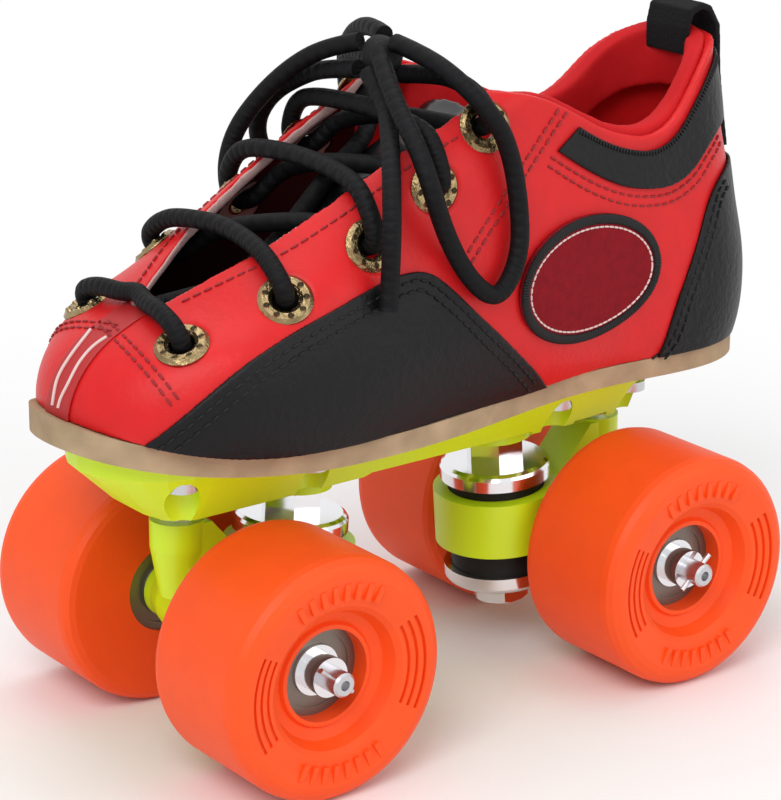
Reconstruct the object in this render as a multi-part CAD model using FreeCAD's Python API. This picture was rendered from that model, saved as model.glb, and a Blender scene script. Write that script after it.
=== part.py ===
import FreeCAD, Part
import math
import os

V = FreeCAD.Vector
X_AXIS = V(1, 0, 0)
Z_AXIS = V(0, 0, 1)

# A child's quad roller skate: a low laced leather shoe bolted to a cast plate
# with two steering trucks and four wheels. Sizes are in millimetres. The toe
# points to -Y, the outer side of the foot to +X, and the floor is z = 0.
# Heights and lengths are drawn from the middle of the wheelbase, and every
# piece is moved at the end so that the origin lies under the middle of the shoe.

# Wheels, bearings and axles
wheel_diameter = 58.0
wheel_width = 33.5
wheel_track = 70.7
wheelbase = 108.5
wheel_outer_round = 4.5
wheel_inner_round = 3.0
wheel_face_radius = 25.0
wheel_face_drop = 1.3
wheel_dish_radius = 17.6
wheel_dish_depth = 6.6
wheel_lip_radius = 12.6
wheel_bore_radius = 9.4
groove_radii = (19.4, 21.4, 23.4)
groove_width = 0.8
groove_depth = 0.7
groove_span = 58.0
bearing_outer_diameter = 22.0
bearing_bore = 8.0
bearing_width = 7.0
bearing_race_diameter = 12.0
bearing_ring_wall = 2.0
shield_thickness = 0.5
inner_bearing_recess = 0.9
outer_bearing_depth = 10.3
running_clearance = 0.05
hub_spacer_diameter = 10.4
axle_tip_diameter = 5.8
axle_tip_reach = 53.2
axle_centre_hole = 2.4
axle_washer_diameter = 12.0
retainer_diameter = 9.4
retainer_length = 5.2
outer_washer_thickness = 0.6
split_pin_diameter = 1.3
split_pin_reach = 5.6
split_pin_setback = 3.4
split_pin_lean = 50.0

# Trucks: kingpin, cushions, ring, arm and pivot
kingpin_to_axle = 22.05
ring_height_above_floor = 35.5
kingpin_lean = 4.0
kingpin_diameter = 8.0
ring_diameter = 31.6
ring_height = 14.0
ring_recess_depth = 3.8
ring_bore_diameter = 11.0
cushion_diameter = 24.0
cushion_gap = 0.2
upper_cushion_show = 2.8
lower_cushion_show = 6.6
cup_diameter = 27.8
cup_height = 4.3
cup_wall = 1.5
cup_shoulder = 1.4
hex_across_flats = 13.0
hex_turn = 30.0
top_nut_height = 6.5
bottom_nut_height = 5.5
kingpin_in_plate = 8.5
kingpin_past_nut = 0.8
axle_housing_radius = 8.2
axle_housing_end_radius = 7.0
arm_thickness = 12.0
pivot_from_axle = 9.0
pivot_height = 60.6
arm_boss_radius = 6.6
arm_boss_height = 7.0
arm_foot_radius = 4.6
arm_foot_height = 12.0
arm_boss_top = 55.0
pivot_collar_diameter = 9.6
pivot_collar_height = 1.8
pivot_ball_diameter = 8.0
pivot_neck_diameter = 5.6
pivot_shank_depth = 9.0
pivot_shank_diameter = 7.0
pivot_cup_diameter = 14.0
pivot_cup_height = 7.4
pivot_boss_bottom = 58.6
pivot_boss_wall = 2.6

# Sole and plate
sole_bottom = 71.0
sole_thickness = 5.0
toe_extra_thickness = 1.6
toe_spring_start = -35.0
toe_spring_radius = 215.0
sole_toe = -97.5
boot_heel = 103.0
bolt_web_thickness = 3.0
plate_half_width = 21.5
plate_heel = 72.0
keel_half_width = 14.0
keel_bottom = 59.3
keel_wall = 3.0
keel_web = 3.0
keel_cell = 17.0
nose_bottom = -76.0
nose_slope = 13.5
kingpin_boss_radius = 9.5
mounting_bolt_diameter = 4.8
mounting_head_diameter = 7.6
bolt_head_clearance = 0.2
mounting_head_height = 2.4
mounting_bolt_x = 15.6
front_bolt_y = (-72.0, -36.0)
rear_bolt_y = (38.0, 62.0)
rear_bolt_x = 15.2

# Shoe
upper_wall = 2.4
cut_reach = 60.0
panel_thickness = 1.0
strip_thickness = 0.6
strip_half_width = 4.8
patch_thickness = 1.2
insole_thickness = 2.0
insole_gap = 0.2
tongue_thickness = 3.2
tongue_gap = 11.6
tongue_drop = 26.0
tongue_overlap = 6.0
tongue_root_half_width = 7.5
tongue_root_end = -72.0
tongue_root_start = -84.0
tongue_root_bottom = 86.0
tongue_top = 154.0
tongue_end = 22.0
collar_roll = 4.6
collar_roll_rise = 1.5
collar_roll_drop = 14.0
collar_roll_start = 14.0
roll_throat_gap = 1.0
band_below_edge = 3.2
panel_inner_edge = 8.0
form_rise_share = 0.55
toe_roundness = 0.92
heel_roundness = 0.96
eyelet_outer_diameter = 12.6
eyelet_hole = 6.0
eyelet_height = 1.2
eyelet_sink = 0.7
eyelet_wall = 0.5
eyelet_clearance = 0.03
patch_length = 47.0
patch_height = 31.0
patch_y = 34.7
patch_z = 102.1
pull_tab_width = 15.0
pull_tab_thickness = 1.6
pull_tab_bottom = 121.0
lace_diameter = 4.4
knot_diameter = 8.6
knot_width = 8.4
knot_place = (0.0, -4.5, 156.0)

# Side-view lines of the shoe as (distance along the foot, height)
collar_line = ((-34.0, 165.0), (0.0, 151.5), (12.0, 149.3), (22.0, 147.0), (32.0, 142.4), (42.0, 137.0), (50.0, 134.0),
               (58.0, 132.8), (66.0, 135.0), (73.0, 141.0), (80.0, 147.0), (88.0, 150.6), (97.0, 151.8), (112.0, 152.0))
band_low_line = ((26.5, 133.8), (33.0, 129.6), (40.0, 125.6), (48.0, 122.2), (56.0, 120.4), (64.0, 120.0),
                 (71.0, 122.2), (77.0, 126.6), (84.0, 130.4), (94.0, 131.6), (110.0, 131.6))
panel_line = ((-91.0, 78.0), (-84.8, 84.7), (-75.3, 93.5), (-63.6, 101.0), (-50.7, 106.1), (-36.9, 110.0),
              (-22.2, 113.4), (-15.0, 112.6), (-8.0, 107.0), (3.0, 96.5), (13.0, 87.6), (24.3, 76.9), (30.0, 70.0))
counter_line = ((59.0, 66.0), (63.4, 82.0), (66.7, 93.2), (73.7, 107.1), (79.4, 116.4), (85.0, 119.8), (96.0, 121.0),
                (112.0, 121.2))

# Plan lines as (half width, distance along the foot)
throat_plan = ((3.4, -73.0), (5.6, -67.0), (13.5, -50.0), (17.0, -33.0), (19.0, -13.0), (20.6, 2.0), (20.6, 16.0))
sole_plan = ((0.0, -97.5), (8.0, -96.2), (15.5, -92.2), (21.5, -84.5), (26.0, -73.5), (29.0, -60.0), (31.0, -46.0),
             (32.0, -31.0), (31.6, -15.0), (29.4, 2.0), (26.0, 20.0), (23.6, 38.0), (24.0, 56.0), (25.2, 71.0),
             (24.0, 83.0), (18.5, 93.0), (10.0, 98.2), (0.0, 99.6))

# Eyelets as (distance along the foot, height) on the form's surface
eyelet_places = ((-74.0, 103.8), (-51.0, 111.6), (-28.0, 120.2), (-9.5, 130.5), (6.0, 142.5))

# One lace in five stretches that start or end at the bow. The first goes from
# the bow through all ten eyelets and back: bars outside, crossings inside and
# one long run under them.
laced_route = (
    (3.6, -1.6, 151.6), (9.6, -0.4, 152.6), (18.0, 2.0, 153.0), (25.6, 4.0, 149.8), (28.4, 5.4, 143.8),
    (20.8, 7.0, 140.6), (0.0, -1.8, 142.0), (-18.0, -4.6, 137.4), (-21.8, -9.0, 129.8), (-30.8, -9.8, 131.0),
    (-27.2, -10.2, 140.6), (-20.8, -9.2, 143.4), (0.0, -8.0, 144.2), (20.8, -9.2, 143.4), (27.2, -10.2, 140.6),
    (30.8, -9.8, 131.0), (21.8, -9.0, 129.8), (17.6, -11.0, 133.4), (0.0, -18.8, 132.8), (-16.6, -21.0, 128.6),
    (-22.8, -27.2, 118.2), (-30.6, -28.4, 121.6), (-26.0, -28.8, 130.8), (-19.0, -27.8, 134.0),
    (0.0, -26.4, 135.0), (19.0, -27.8, 134.0), (26.0, -28.8, 130.8), (30.6, -28.4, 121.6),
    (22.8, -27.2, 118.2), (15.8, -30.2, 123.6), (0.0, -39.6, 121.4), (-13.8, -42.6, 117.0),
    (-23.4, -49.0, 108.0), (-28.4, -52.2, 114.0), (-21.8, -52.0, 119.4), (-14.4, -51.0, 121.4),
    (0.0, -49.6, 122.6), (14.4, -51.0, 121.4), (21.8, -52.0, 119.4), (28.4, -52.2, 114.0),
    (23.4, -49.0, 108.0), (10.8, -53.0, 111.4), (0.0, -62.4, 106.8), (-5.6, -66.0, 104.4),
    (-18.2, -72.0, 99.2), (-20.6, -75.2, 106.8), (-12.8, -74.8, 109.6), (-4.8, -73.8, 109.6),
    (0.0, -72.4, 110.8), (4.8, -73.8, 109.6), (12.8, -74.8, 109.6), (20.6, -75.2, 106.8), (18.2, -72.0, 99.2),
    (10.0, -57.2, 103.4), (4.8, -41.6, 113.2), (-1.0, -25.8, 123.0), (-5.6, -14.6, 128.8),
    (-12.4, 1.2, 134.0), (-20.8, 7.0, 140.6), (-28.4, 5.4, 143.8), (-25.6, 4.0, 149.8), (-18.0, 2.0, 153.0),
    (-9.6, -0.4, 152.6), (-3.6, -1.6, 151.6))
near_loop_route = (
    (4.4, -8.8, 157.4), (12.0, -12.2, 153.0), (21.0, -15.5, 147.8), (30.5, -17.4, 141.5), (36.2, -17.6, 132.6),
    (34.5, -13.5, 124.2), (34.2, -9.0, 115.5), (35.2, -4.2, 108.4), (35.6, 1.5, 104.4), (35.2, 6.4, 108.4),
    (34.0, 10.0, 115.5), (32.4, 10.4, 126.0), (31.6, 8.6, 136.5), (33.4, 2.6, 146.0), (25.5, -2.4, 154.5),
    (15.0, -3.8, 158.2), (4.6, -4.2, 159.4))
near_end_route = (
    (1.2, -9.4, 152.4), (11.2, -11.6, 147.0), (20.2, -17.6, 142.6), (28.2, -23.2, 138.2), (33.6, -27.0, 131.8),
    (36.0, -28.8, 123.6), (35.4, -28.8, 113.0), (36.2, -29.8, 107.2))
far_loop_route = (
    (-4.6, -7.4, 158.6), (-12.5, -10.9, 156.6), (-21.0, -15.0, 151.2), (-28.5, -19.5, 143.0),
    (-33.0, -24.0, 134.0), (-34.0, -26.0, 124.5), (-34.5, -23.5, 116.0), (-34.5, -18.0, 112.0),
    (-34.5, -13.0, 116.0), (-34.0, -13.5, 125.0), (-35.2, -16.5, 134.0), (-31.5, -14.2, 142.5),
    (-23.0, -9.8, 148.2), (-13.5, -9.2, 151.0), (-3.6, -8.6, 152.4))
far_end_route = (
    (-3.6, -1.2, 159.6), (-12.0, 1.2, 160.4), (-21.5, 3.8, 157.6), (-30.2, 7.0, 151.2), (-33.6, 9.8, 140.5),
    (-33.6, 12.5, 130.0), (-33.8, 15.0, 120.5))


def place_y(shape):
    """Moves a piece from the wheelbase frame to the shoe frame."""
    moved = shape.copy()
    moved.translate(V(0, wheel_middle_y, 0))
    return moved


def save(name, shape):
    os.makedirs("parts", exist_ok=True)
    place_y(shape).exportStep("parts/" + name + ".step")


def face_from(points):
    return Part.Face(Part.makePolygon(points + [points[0]]))


def prism_x(outline, half_width):
    """Extrudes a closed (y, z) outline along X, to both sides of the middle."""
    return face_from([V(-half_width, y, z) for y, z in outline]).extrude(V(2 * half_width, 0, 0))


def prism_z(outline, low, high):
    """Extrudes a closed (x, y) outline along Z."""
    return face_from([V(x, y, low) for x, y in outline]).extrude(V(0, 0, high - low))


def cylinder(radius, height, base, direction):
    return Part.makeCylinder(radius, height, base, direction)


def revolve_x(profile, centre):
    """Turns a closed (distance along X, radius) profile about the X axis."""
    face = face_from([V(a, 0, r) for a, r in profile])
    solid = face.revolve(V(0, 0, 0), X_AXIS, 360)
    solid.translate(centre)
    return solid


def hexagon(across_flats, height, base, direction):
    radius = across_flats / math.sqrt(3.0)
    corners = [V(radius * math.cos(math.radians(60 * k)), radius * math.sin(math.radians(60 * k)), 0)
               for k in range(6)]
    solid = face_from(corners).extrude(V(0, 0, height))
    chamfer = Part.makeCone(radius + height, across_flats / 2 + 0.2, radius + height - across_flats / 2 - 0.2)
    solid = solid.common(cylinder(radius + 0.01, height, V(0, 0, 0), Z_AXIS))
    chamfer.translate(V(0, 0, height - (radius + height - across_flats / 2 - 0.2)))
    solid = solid.common(chamfer)
    solid.rotate(V(0, 0, 0), Z_AXIS, hex_turn)
    return solid.transformGeometry(FreeCAD.Placement(base, FreeCAD.Rotation(Z_AXIS, direction)).toMatrix())


def turned_for_front(shape):
    """The front truck is the rear one turned about the vertical axis."""
    turned = shape.copy()
    turned.rotate(V(0, 0, 0), Z_AXIS, 180)
    return turned


# Derived places
wheel_radius = wheel_diameter / 2
half_track = wheel_track / 2
half_width = wheel_width / 2
axle_y = wheelbase / 2
inner_bearing_start = half_track - half_width + inner_bearing_recess
outer_bearing_end = half_track + half_width - outer_bearing_depth
outer_bearing_start = outer_bearing_end - bearing_width
axle_washer_start = inner_bearing_start - 1.0
ring_centre = V(0, axle_y - kingpin_to_axle, ring_height_above_floor)
kingpin_up = V(0, -math.sin(math.radians(kingpin_lean)), math.cos(math.radians(kingpin_lean)))
pivot_centre = V(0, axle_y + pivot_from_axle, pivot_height)
upper_cup_bottom = ring_height / 2 + upper_cushion_show
upper_cup_top = upper_cup_bottom + cup_height
lower_cup_top = -ring_height / 2 - lower_cushion_show
lower_cup_bottom = lower_cup_top - cup_height
cushion_seat = ring_height / 2 - ring_recess_depth
wheel_middle_y = -(sole_toe + boot_heel) / 2


def on_kingpin(distance):
    return ring_centre + kingpin_up * distance


def spring_rise(y):
    """How far the toe spring lifts the sole at a place along the foot."""
    if y >= toe_spring_start:
        return 0.0
    return toe_spring_radius - math.sqrt(toe_spring_radius ** 2 - (toe_spring_start - y) ** 2)


def sole_edges(offset, toe_extra=0.0):
    """Side-view line of the underside lifted by an offset: a toe arc and a straight run."""
    toe = sole_toe - 4
    middle = (toe + toe_spring_start) / 2
    base = sole_bottom + offset
    ends = [V(0, toe, base + spring_rise(toe) + toe_extra),
            V(0, middle, base + spring_rise(middle) + toe_extra / 4),
            V(0, toe_spring_start, base)]
    arc = Part.Arc(*ends).toShape()
    run = Part.makeLine(ends[2], V(0, boot_heel + 6, base))
    return arc, run


def band_between(low, high, half, toe_extra_high=0.0, toe_extra_low=0.0):
    """A solid between two lifted sole lines, as wide as asked."""
    arc_low, run_low = sole_edges(low, toe_extra_low)
    arc_high, run_high = sole_edges(high, toe_extra_high)
    toe = Part.makeLine(arc_low.Vertexes[0].Point, arc_high.Vertexes[0].Point)
    heel = Part.makeLine(run_low.Vertexes[1].Point, run_high.Vertexes[1].Point)
    wire = Part.Wire(Part.__sortEdges__([arc_low, run_low, heel, run_high, arc_high, toe]))
    face = Part.Face(wire)
    face.translate(V(-half, 0, 0))
    return face.extrude(V(2 * half, 0, 0))


def wheel():
    """One wheel about the X axis with its outer face towards +X."""
    r = wheel_radius
    dish_floor = half_width - wheel_dish_depth
    face_inner = half_width - wheel_face_drop
    bore = bearing_outer_diameter / 2
    inner_seat = -half_width + inner_bearing_recess + bearing_width
    outer_seat = outer_bearing_start - half_track
    rounded = []
    for k in range(5):
        angle = math.radians(90 * k / 4)
        rounded.append((half_width - wheel_outer_round * (1 - math.cos(angle)),
                        r - wheel_outer_round * (1 - math.sin(angle))))
    inner = []
    for k in range(4):
        angle = math.radians(90 * k / 3)
        inner.append((-half_width + wheel_inner_round * (1 - math.sin(angle)),
                      r - wheel_inner_round * (1 - math.cos(angle))))
    profile = [(-half_width, bore), (inner_seat, bore), (inner_seat, wheel_bore_radius),
               (outer_seat, wheel_bore_radius), (outer_seat, bore), (dish_floor + 0.8, bore),
               (dish_floor + 0.8, wheel_lip_radius - 0.6), (dish_floor, wheel_lip_radius),
               (dish_floor + 1.2, wheel_lip_radius + 2.6), (face_inner - 1.0, wheel_dish_radius - 1.0),
               (face_inner, wheel_dish_radius + 0.3)]
    profile += rounded + inner
    solid = revolve_x(profile, V(0, 0, 0))
    for radius in groove_radii:
        for middle in (0, 180):
            slope = wheel_face_drop / (wheel_face_radius - wheel_dish_radius)
            start = half_width - slope * (wheel_face_radius - radius)
            section = face_from([V(start - groove_depth, 0, radius - groove_width / 2),
                                 V(half_width + 1, 0, radius - groove_width / 2),
                                 V(half_width + 1, 0, radius + groove_width / 2),
                                 V(start - groove_depth, 0, radius + groove_width / 2)])
            groove = section.revolve(V(0, 0, 0), X_AXIS, groove_span)
            groove.rotate(V(0, 0, 0), X_AXIS, middle + 90 - groove_span / 2)
            solid = solid.cut(groove)
    return solid


def bearing_outer(start):
    """Outer ring with a shield at each face, from a start along X."""
    outer = bearing_outer_diameter / 2
    inside = outer - bearing_ring_wall
    shield = bearing_race_diameter / 2 + running_clearance
    end = start + bearing_width
    profile = [(start, outer), (end, outer), (end, inside), (end - 0.3, inside), (end - 0.3, shield),
               (end - 0.3 - shield_thickness, shield), (end - 0.3 - shield_thickness, inside),
               (start + 0.3 + shield_thickness, inside), (start + 0.3 + shield_thickness, shield),
               (start + 0.3, shield), (start + 0.3, inside), (start, inside)]
    return revolve_x(profile, V(0, 0, 0))


def tube_x(outer_diameter, inner_diameter, start, end):
    profile = [(start, inner_diameter / 2), (end, inner_diameter / 2),
               (end, outer_diameter / 2), (start, outer_diameter / 2)]
    return revolve_x(profile, V(0, 0, 0))


def both_sides(piece, centre):
    """A piece on the +X side and its mirror image on the -X side, moved to a centre."""
    other = piece.mirror(V(0, 0, 0), X_AXIS)
    pair = Part.makeCompound([piece, other])
    pair.translate(centre)
    return pair


def axle():
    """Axle rod with turned-down tips, each with a centre hole and a pin hole."""
    shoulder = outer_bearing_end
    r = bearing_bore / 2
    tip = axle_tip_diameter / 2
    profile = [(-axle_tip_reach, 0), (-axle_tip_reach, tip - 0.5), (-axle_tip_reach + 0.5, tip),
               (-shoulder, tip), (-shoulder, r), (shoulder, r), (shoulder, tip),
               (axle_tip_reach - 0.5, tip), (axle_tip_reach, tip - 0.5), (axle_tip_reach, 0)]
    rod = revolve_x(profile, V(0, 0, 0))
    for side in (-1, 1):
        rod = rod.cut(cylinder(axle_centre_hole / 2, 2.2, V(side * axle_tip_reach, 0, 0), V(-side, 0, 0)))
        rod = rod.cut(split_pin(side))
    return rod


def split_pin(side):
    """Straight split pin through an axle tip, leaning back and up."""
    lean = math.radians(split_pin_lean)
    direction = V(0, math.sin(lean), math.cos(lean))
    middle = V(side * (axle_tip_reach - split_pin_setback), 0, 0)
    base = middle - direction * split_pin_reach
    return cylinder(split_pin_diameter / 2, 2 * split_pin_reach, base, direction)


def cup_washer(direction_sign):
    """Pressed cup washer on the kingpin, open towards the ring."""
    outer = cup_diameter / 2
    pocket = cushion_diameter / 2 + cushion_gap
    bore = kingpin_diameter / 2 + running_clearance
    profile = [(0, bore), (0, outer - cup_shoulder), (-cup_shoulder * 0.45, outer - cup_shoulder * 0.35),
               (-cup_shoulder, outer), (-cup_height, outer), (-cup_height, pocket),
               (-cup_wall, pocket), (-cup_wall, bore)]
    face = face_from([V(r, 0, a) for a, r in profile])
    solid = face.revolve(V(0, 0, 0), Z_AXIS, 360)
    distance = upper_cup_top if direction_sign > 0 else lower_cup_bottom
    solid.Placement = FreeCAD.Placement(on_kingpin(distance), FreeCAD.Rotation(Z_AXIS, kingpin_up * direction_sign))
    return solid


def cushion(low, high):
    """Rubber ring round the kingpin with softened edges."""
    outer = cushion_diameter / 2
    bore = kingpin_diameter / 2 + running_clearance
    soft = 0.8
    profile = [(low, bore), (low, outer - soft), (low + soft, outer), (high - soft, outer),
               (high, outer - soft), (high, bore)]
    face = face_from([V(r, 0, a) for a, r in profile])
    solid = face.revolve(V(0, 0, 0), Z_AXIS, 360)
    solid.Placement = FreeCAD.Placement(ring_centre, FreeCAD.Rotation(Z_AXIS, kingpin_up))
    return solid


def hanger():
    """Truck casting: ring, axle housing, arm and pivot boss in one piece."""
    centre = V(0, axle_y, wheel_radius)
    end = axle_washer_start
    bore = bearing_bore / 2 + running_clearance
    housing = revolve_x([(-end, 0), (-end, axle_housing_end_radius), (-end + 2.5, axle_housing_end_radius),
                         (-end + 7, axle_housing_radius), (end - 7, axle_housing_radius),
                         (end - 2.5, axle_housing_end_radius), (end, axle_housing_end_radius), (end, 0)], centre)
    ring = cylinder(ring_diameter / 2, ring_height, on_kingpin(-ring_height / 2), kingpin_up)
    ring_edge = ring_centre.y + ring_diameter / 2 - 4
    web_low = ring_height_above_floor - ring_height / 2 + 1.0
    web_high = ring_height_above_floor + ring_height / 2 - 1.0
    web = prism_x([(ring_edge, web_low), (axle_y, wheel_radius - axle_housing_radius + 1),
                   (axle_y + 4, wheel_radius), (axle_y, web_high), (ring_edge, web_high)], arm_thickness * 0.75)
    py = pivot_centre.y
    arm = prism_x([(ring_edge + 1, web_high - 2), (py - arm_boss_radius + 1, arm_boss_top - 0.6),
                   (py, arm_boss_top - 0.6), (py + 1.5, arm_boss_top - 9.0),
                   (axle_y + axle_housing_radius - 1.5, wheel_radius + 4), (axle_y + 5, wheel_radius - 4),
                   (axle_y, wheel_radius)], arm_thickness / 2)
    foot = -arm_boss_height - arm_foot_height
    boss = face_from([V(0, 0, 0), V(arm_boss_radius, 0, 0), V(arm_boss_radius, 0, -arm_boss_height),
                      V(arm_foot_radius, 0, foot), V(0, 0, foot)])
    boss = boss.revolve(V(0, 0, 0), Z_AXIS, 360)
    boss.translate(V(0, py, arm_boss_top))
    solid = housing.fuse([ring, web, arm, boss])
    recess = ring_recess_depth
    for low, high in ((-ring_height / 2 - 1, -cushion_seat), (cushion_seat, ring_height / 2 + 1)):
        solid = solid.cut(cylinder(cushion_diameter / 2 + cushion_gap, high - low, on_kingpin(low), kingpin_up))
    bore_start = on_kingpin(-ring_height / 2 - recess)
    solid = solid.cut(cylinder(ring_bore_diameter / 2, 2 * recess + ring_height, bore_start, kingpin_up))
    solid = solid.cut(cylinder(bore, 2 * end + 2, V(-end - 1, axle_y, wheel_radius), X_AXIS))
    shank_bottom = V(0, py, arm_boss_top - pivot_shank_depth - 0.2)
    solid = solid.cut(cylinder(pivot_shank_diameter / 2, pivot_shank_depth + 0.2, shank_bottom, Z_AXIS))
    return solid.removeSplitter()


def pivot_pin():
    """Steel pin pressed in the arm, with a collar and a ball on top."""
    base = V(0, pivot_centre.y, arm_boss_top)
    shank = cylinder(pivot_shank_diameter / 2, pivot_shank_depth, base - V(0, 0, pivot_shank_depth), Z_AXIS)
    collar = cylinder(pivot_collar_diameter / 2, pivot_collar_height, base, Z_AXIS)
    neck = cylinder(pivot_neck_diameter / 2, pivot_height - arm_boss_top, base, Z_AXIS)
    ball = Part.makeSphere(pivot_ball_diameter / 2, pivot_centre)
    return shank.fuse([collar, neck, ball])


def pivot_cup():
    """Bush in the plate with a round socket for the pivot ball."""
    top = pivot_boss_bottom + pivot_cup_height
    base = V(0, pivot_centre.y, pivot_boss_bottom)
    body = cylinder(pivot_cup_diameter / 2, top - pivot_boss_bottom, base, Z_AXIS)
    body = body.cut(Part.makeSphere(pivot_ball_diameter / 2 + running_clearance, pivot_centre))
    neck = pivot_neck_diameter / 2
    depth = pivot_height - pivot_boss_bottom + 0.5
    mouth = Part.makeCone(neck + 1.6, neck + 0.7, depth, base - V(0, 0, 0.5), Z_AXIS)
    return body.cut(mouth)


def kingpin():
    length_up = upper_cup_top + top_nut_height + kingpin_in_plate
    length_down = -lower_cup_bottom + bottom_nut_height + kingpin_past_nut
    return cylinder(kingpin_diameter / 2, length_up + length_down, on_kingpin(-length_down), kingpin_up)


def nut(distance, height, flip):
    direction = kingpin_up * (-1 if flip else 1)
    solid = hexagon(hex_across_flats, height, on_kingpin(distance), direction)
    return solid.cut(cylinder(kingpin_diameter / 2, 4 * height, on_kingpin(distance) - direction * height, direction))


def rounded_plan(half, low, high, round_low, round_high, steps=6):
    """Closed (x, y) outline with elliptical ends, symmetric about the Y axis."""
    right = []
    for k in range(steps + 1):
        angle = math.radians(90 * k / steps)
        right.append((half * math.sin(angle), low + round_low * (1 - math.cos(angle))))
    for k in range(steps + 1):
        angle = math.radians(90 * k / steps)
        right.append((half * math.cos(angle), high - round_high * (1 - math.sin(angle))))
    left = [(-x, y) for x, y in reversed(right) if x > 0.001]
    outline = []
    for point in right + left:
        if not outline or abs(point[0] - outline[-1][0]) + abs(point[1] - outline[-1][1]) > 0.01:
            outline.append(point)
    return outline


def plate_hull(shrink, low, high):
    """Tapered body of the plate, from its narrow bottom up to the width of its top."""
    nose = nose_bottom - nose_slope
    bottom = rounded_plan(keel_half_width - shrink, nose_bottom + shrink, plate_heel - 3 - shrink, 9, 9)
    top = rounded_plan(plate_half_width - shrink, nose + shrink, plate_heel - shrink, 24, 15)
    wires = [Part.makePolygon([V(x, y, z) for x, y in outline + [outline[0]]])
             for outline, z in ((bottom, low), (top, high))]
    return Part.makeLoft(wires, True, True)


def plate():
    """Cast plate: a tapered hull under the sole, hollow between ribs, with bosses."""
    hull_top = sole_bottom + 1
    hull = plate_hull(0.0, keel_bottom, hull_top)
    rise = spring_rise(sole_toe)
    plan = rounded_plan(plate_half_width, nose_bottom - nose_slope, plate_heel, 24, 15)
    collar = prism_z(plan, hull_top, hull_top + rise)
    side = [(nose_bottom - nose_slope - 8, hull_top + rise), (nose_bottom - nose_slope - 8, keel_bottom + 16.5),
            (nose_bottom, keel_bottom + 0.8), (nose_bottom + 3, keel_bottom), (-20, keel_bottom),
            (-18, keel_bottom + 0.9), (pivot_centre.y - 14, keel_bottom + 0.9),
            (pivot_centre.y, keel_bottom + 2.0), (plate_heel - 2.5, keel_bottom + 4.5),
            (plate_heel, keel_bottom + 8), (plate_heel, hull_top + rise)]
    under_sole = band_between(-30, 0, 40)
    solid = hull.fuse(collar).common(prism_x(side, plate_half_width + 1)).common(under_sole)
    hollow = plate_hull(keel_wall, keel_bottom - 0.5, hull_top).common(band_between(-30, -keel_web, 40))
    low = -pivot_centre.y + pivot_cup_diameter / 2 + pivot_boss_wall + 1
    high = -low
    count = int((high - low) // keel_cell) + 1
    pitch = (high - low) / count
    for k in range(count):
        start = low + pitch * k + keel_wall / 2
        stop = start + pitch - keel_wall
        for span in ((-plate_half_width, -keel_wall / 2), (keel_wall / 2, plate_half_width)):
            solid = solid.cut(hollow.common(box(span, (start, stop), (keel_bottom - 5, hull_top))))
    bosses = []
    for turn in (False, True):
        king_boss = cylinder(kingpin_boss_radius, kingpin_in_plate + 8,
                             on_kingpin(upper_cup_top + top_nut_height), kingpin_up)
        pivot_boss = cylinder(pivot_cup_diameter / 2 + pivot_boss_wall, sole_bottom - pivot_boss_bottom + 10,
                              V(0, pivot_centre.y, pivot_boss_bottom), Z_AXIS)
        for boss in (king_boss, pivot_boss):
            bosses.append((turned_for_front(boss) if turn else boss).common(under_sole))
    posts = []
    for x, y in bolt_places():
        post = cylinder(mounting_head_diameter / 2 + keel_wall, 30, V(x, y, keel_bottom), Z_AXIS)
        posts.append(post.common(hull).common(band_between(-30, -keel_web / 2, 40)))
    solid = solid.fuse(bosses + posts)
    for turn in (False, True):
        hole_start = on_kingpin(upper_cup_top + top_nut_height - 1)
        hole = cylinder(kingpin_diameter / 2, kingpin_in_plate + 1, hole_start, kingpin_up)
        socket_start = V(0, pivot_centre.y, pivot_boss_bottom)
        socket = cylinder(pivot_cup_diameter / 2, pivot_cup_height, socket_start, Z_AXIS)
        if turn:
            hole = turned_for_front(hole)
            socket = turned_for_front(socket)
        solid = solid.cut(hole).cut(socket)
    for x, y in bolt_places():
        solid = solid.cut(cylinder(mounting_bolt_diameter / 2, 60, V(x, y, 40), Z_AXIS))
        seat = bolt_seat(y)
        solid = solid.cut(cylinder(mounting_head_diameter / 2 + bolt_head_clearance, 20, V(x, y, seat - 20), Z_AXIS))
    return solid.removeSplitter()


def bolt_seat(y):
    """Height of the face in the plate that a mounting bolt's head bears on."""
    return sole_bottom + spring_rise(y + mounting_head_diameter / 2) - bolt_web_thickness


def bolt_places():
    places = []
    for y in front_bolt_y:
        places += [(-mounting_bolt_x, y), (mounting_bolt_x, y)]
    for y in rear_bolt_y:
        places += [(-rear_bolt_x, y), (rear_bolt_x, y)]
    return places


def mounting_bolt(x, y):
    """Pan-head screw from its seat in the plate up into the sole."""
    seat = bolt_seat(y)
    head = cylinder(mounting_head_diameter / 2, mounting_head_height, V(x, y, seat - mounting_head_height), Z_AXIS)
    top = sole_bottom + spring_rise(y) + sole_thickness - 1.0
    shank = cylinder(mounting_bolt_diameter / 2, top - seat + 1, V(x, y, seat - 1), Z_AXIS)
    return head.fuse(shank)


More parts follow.
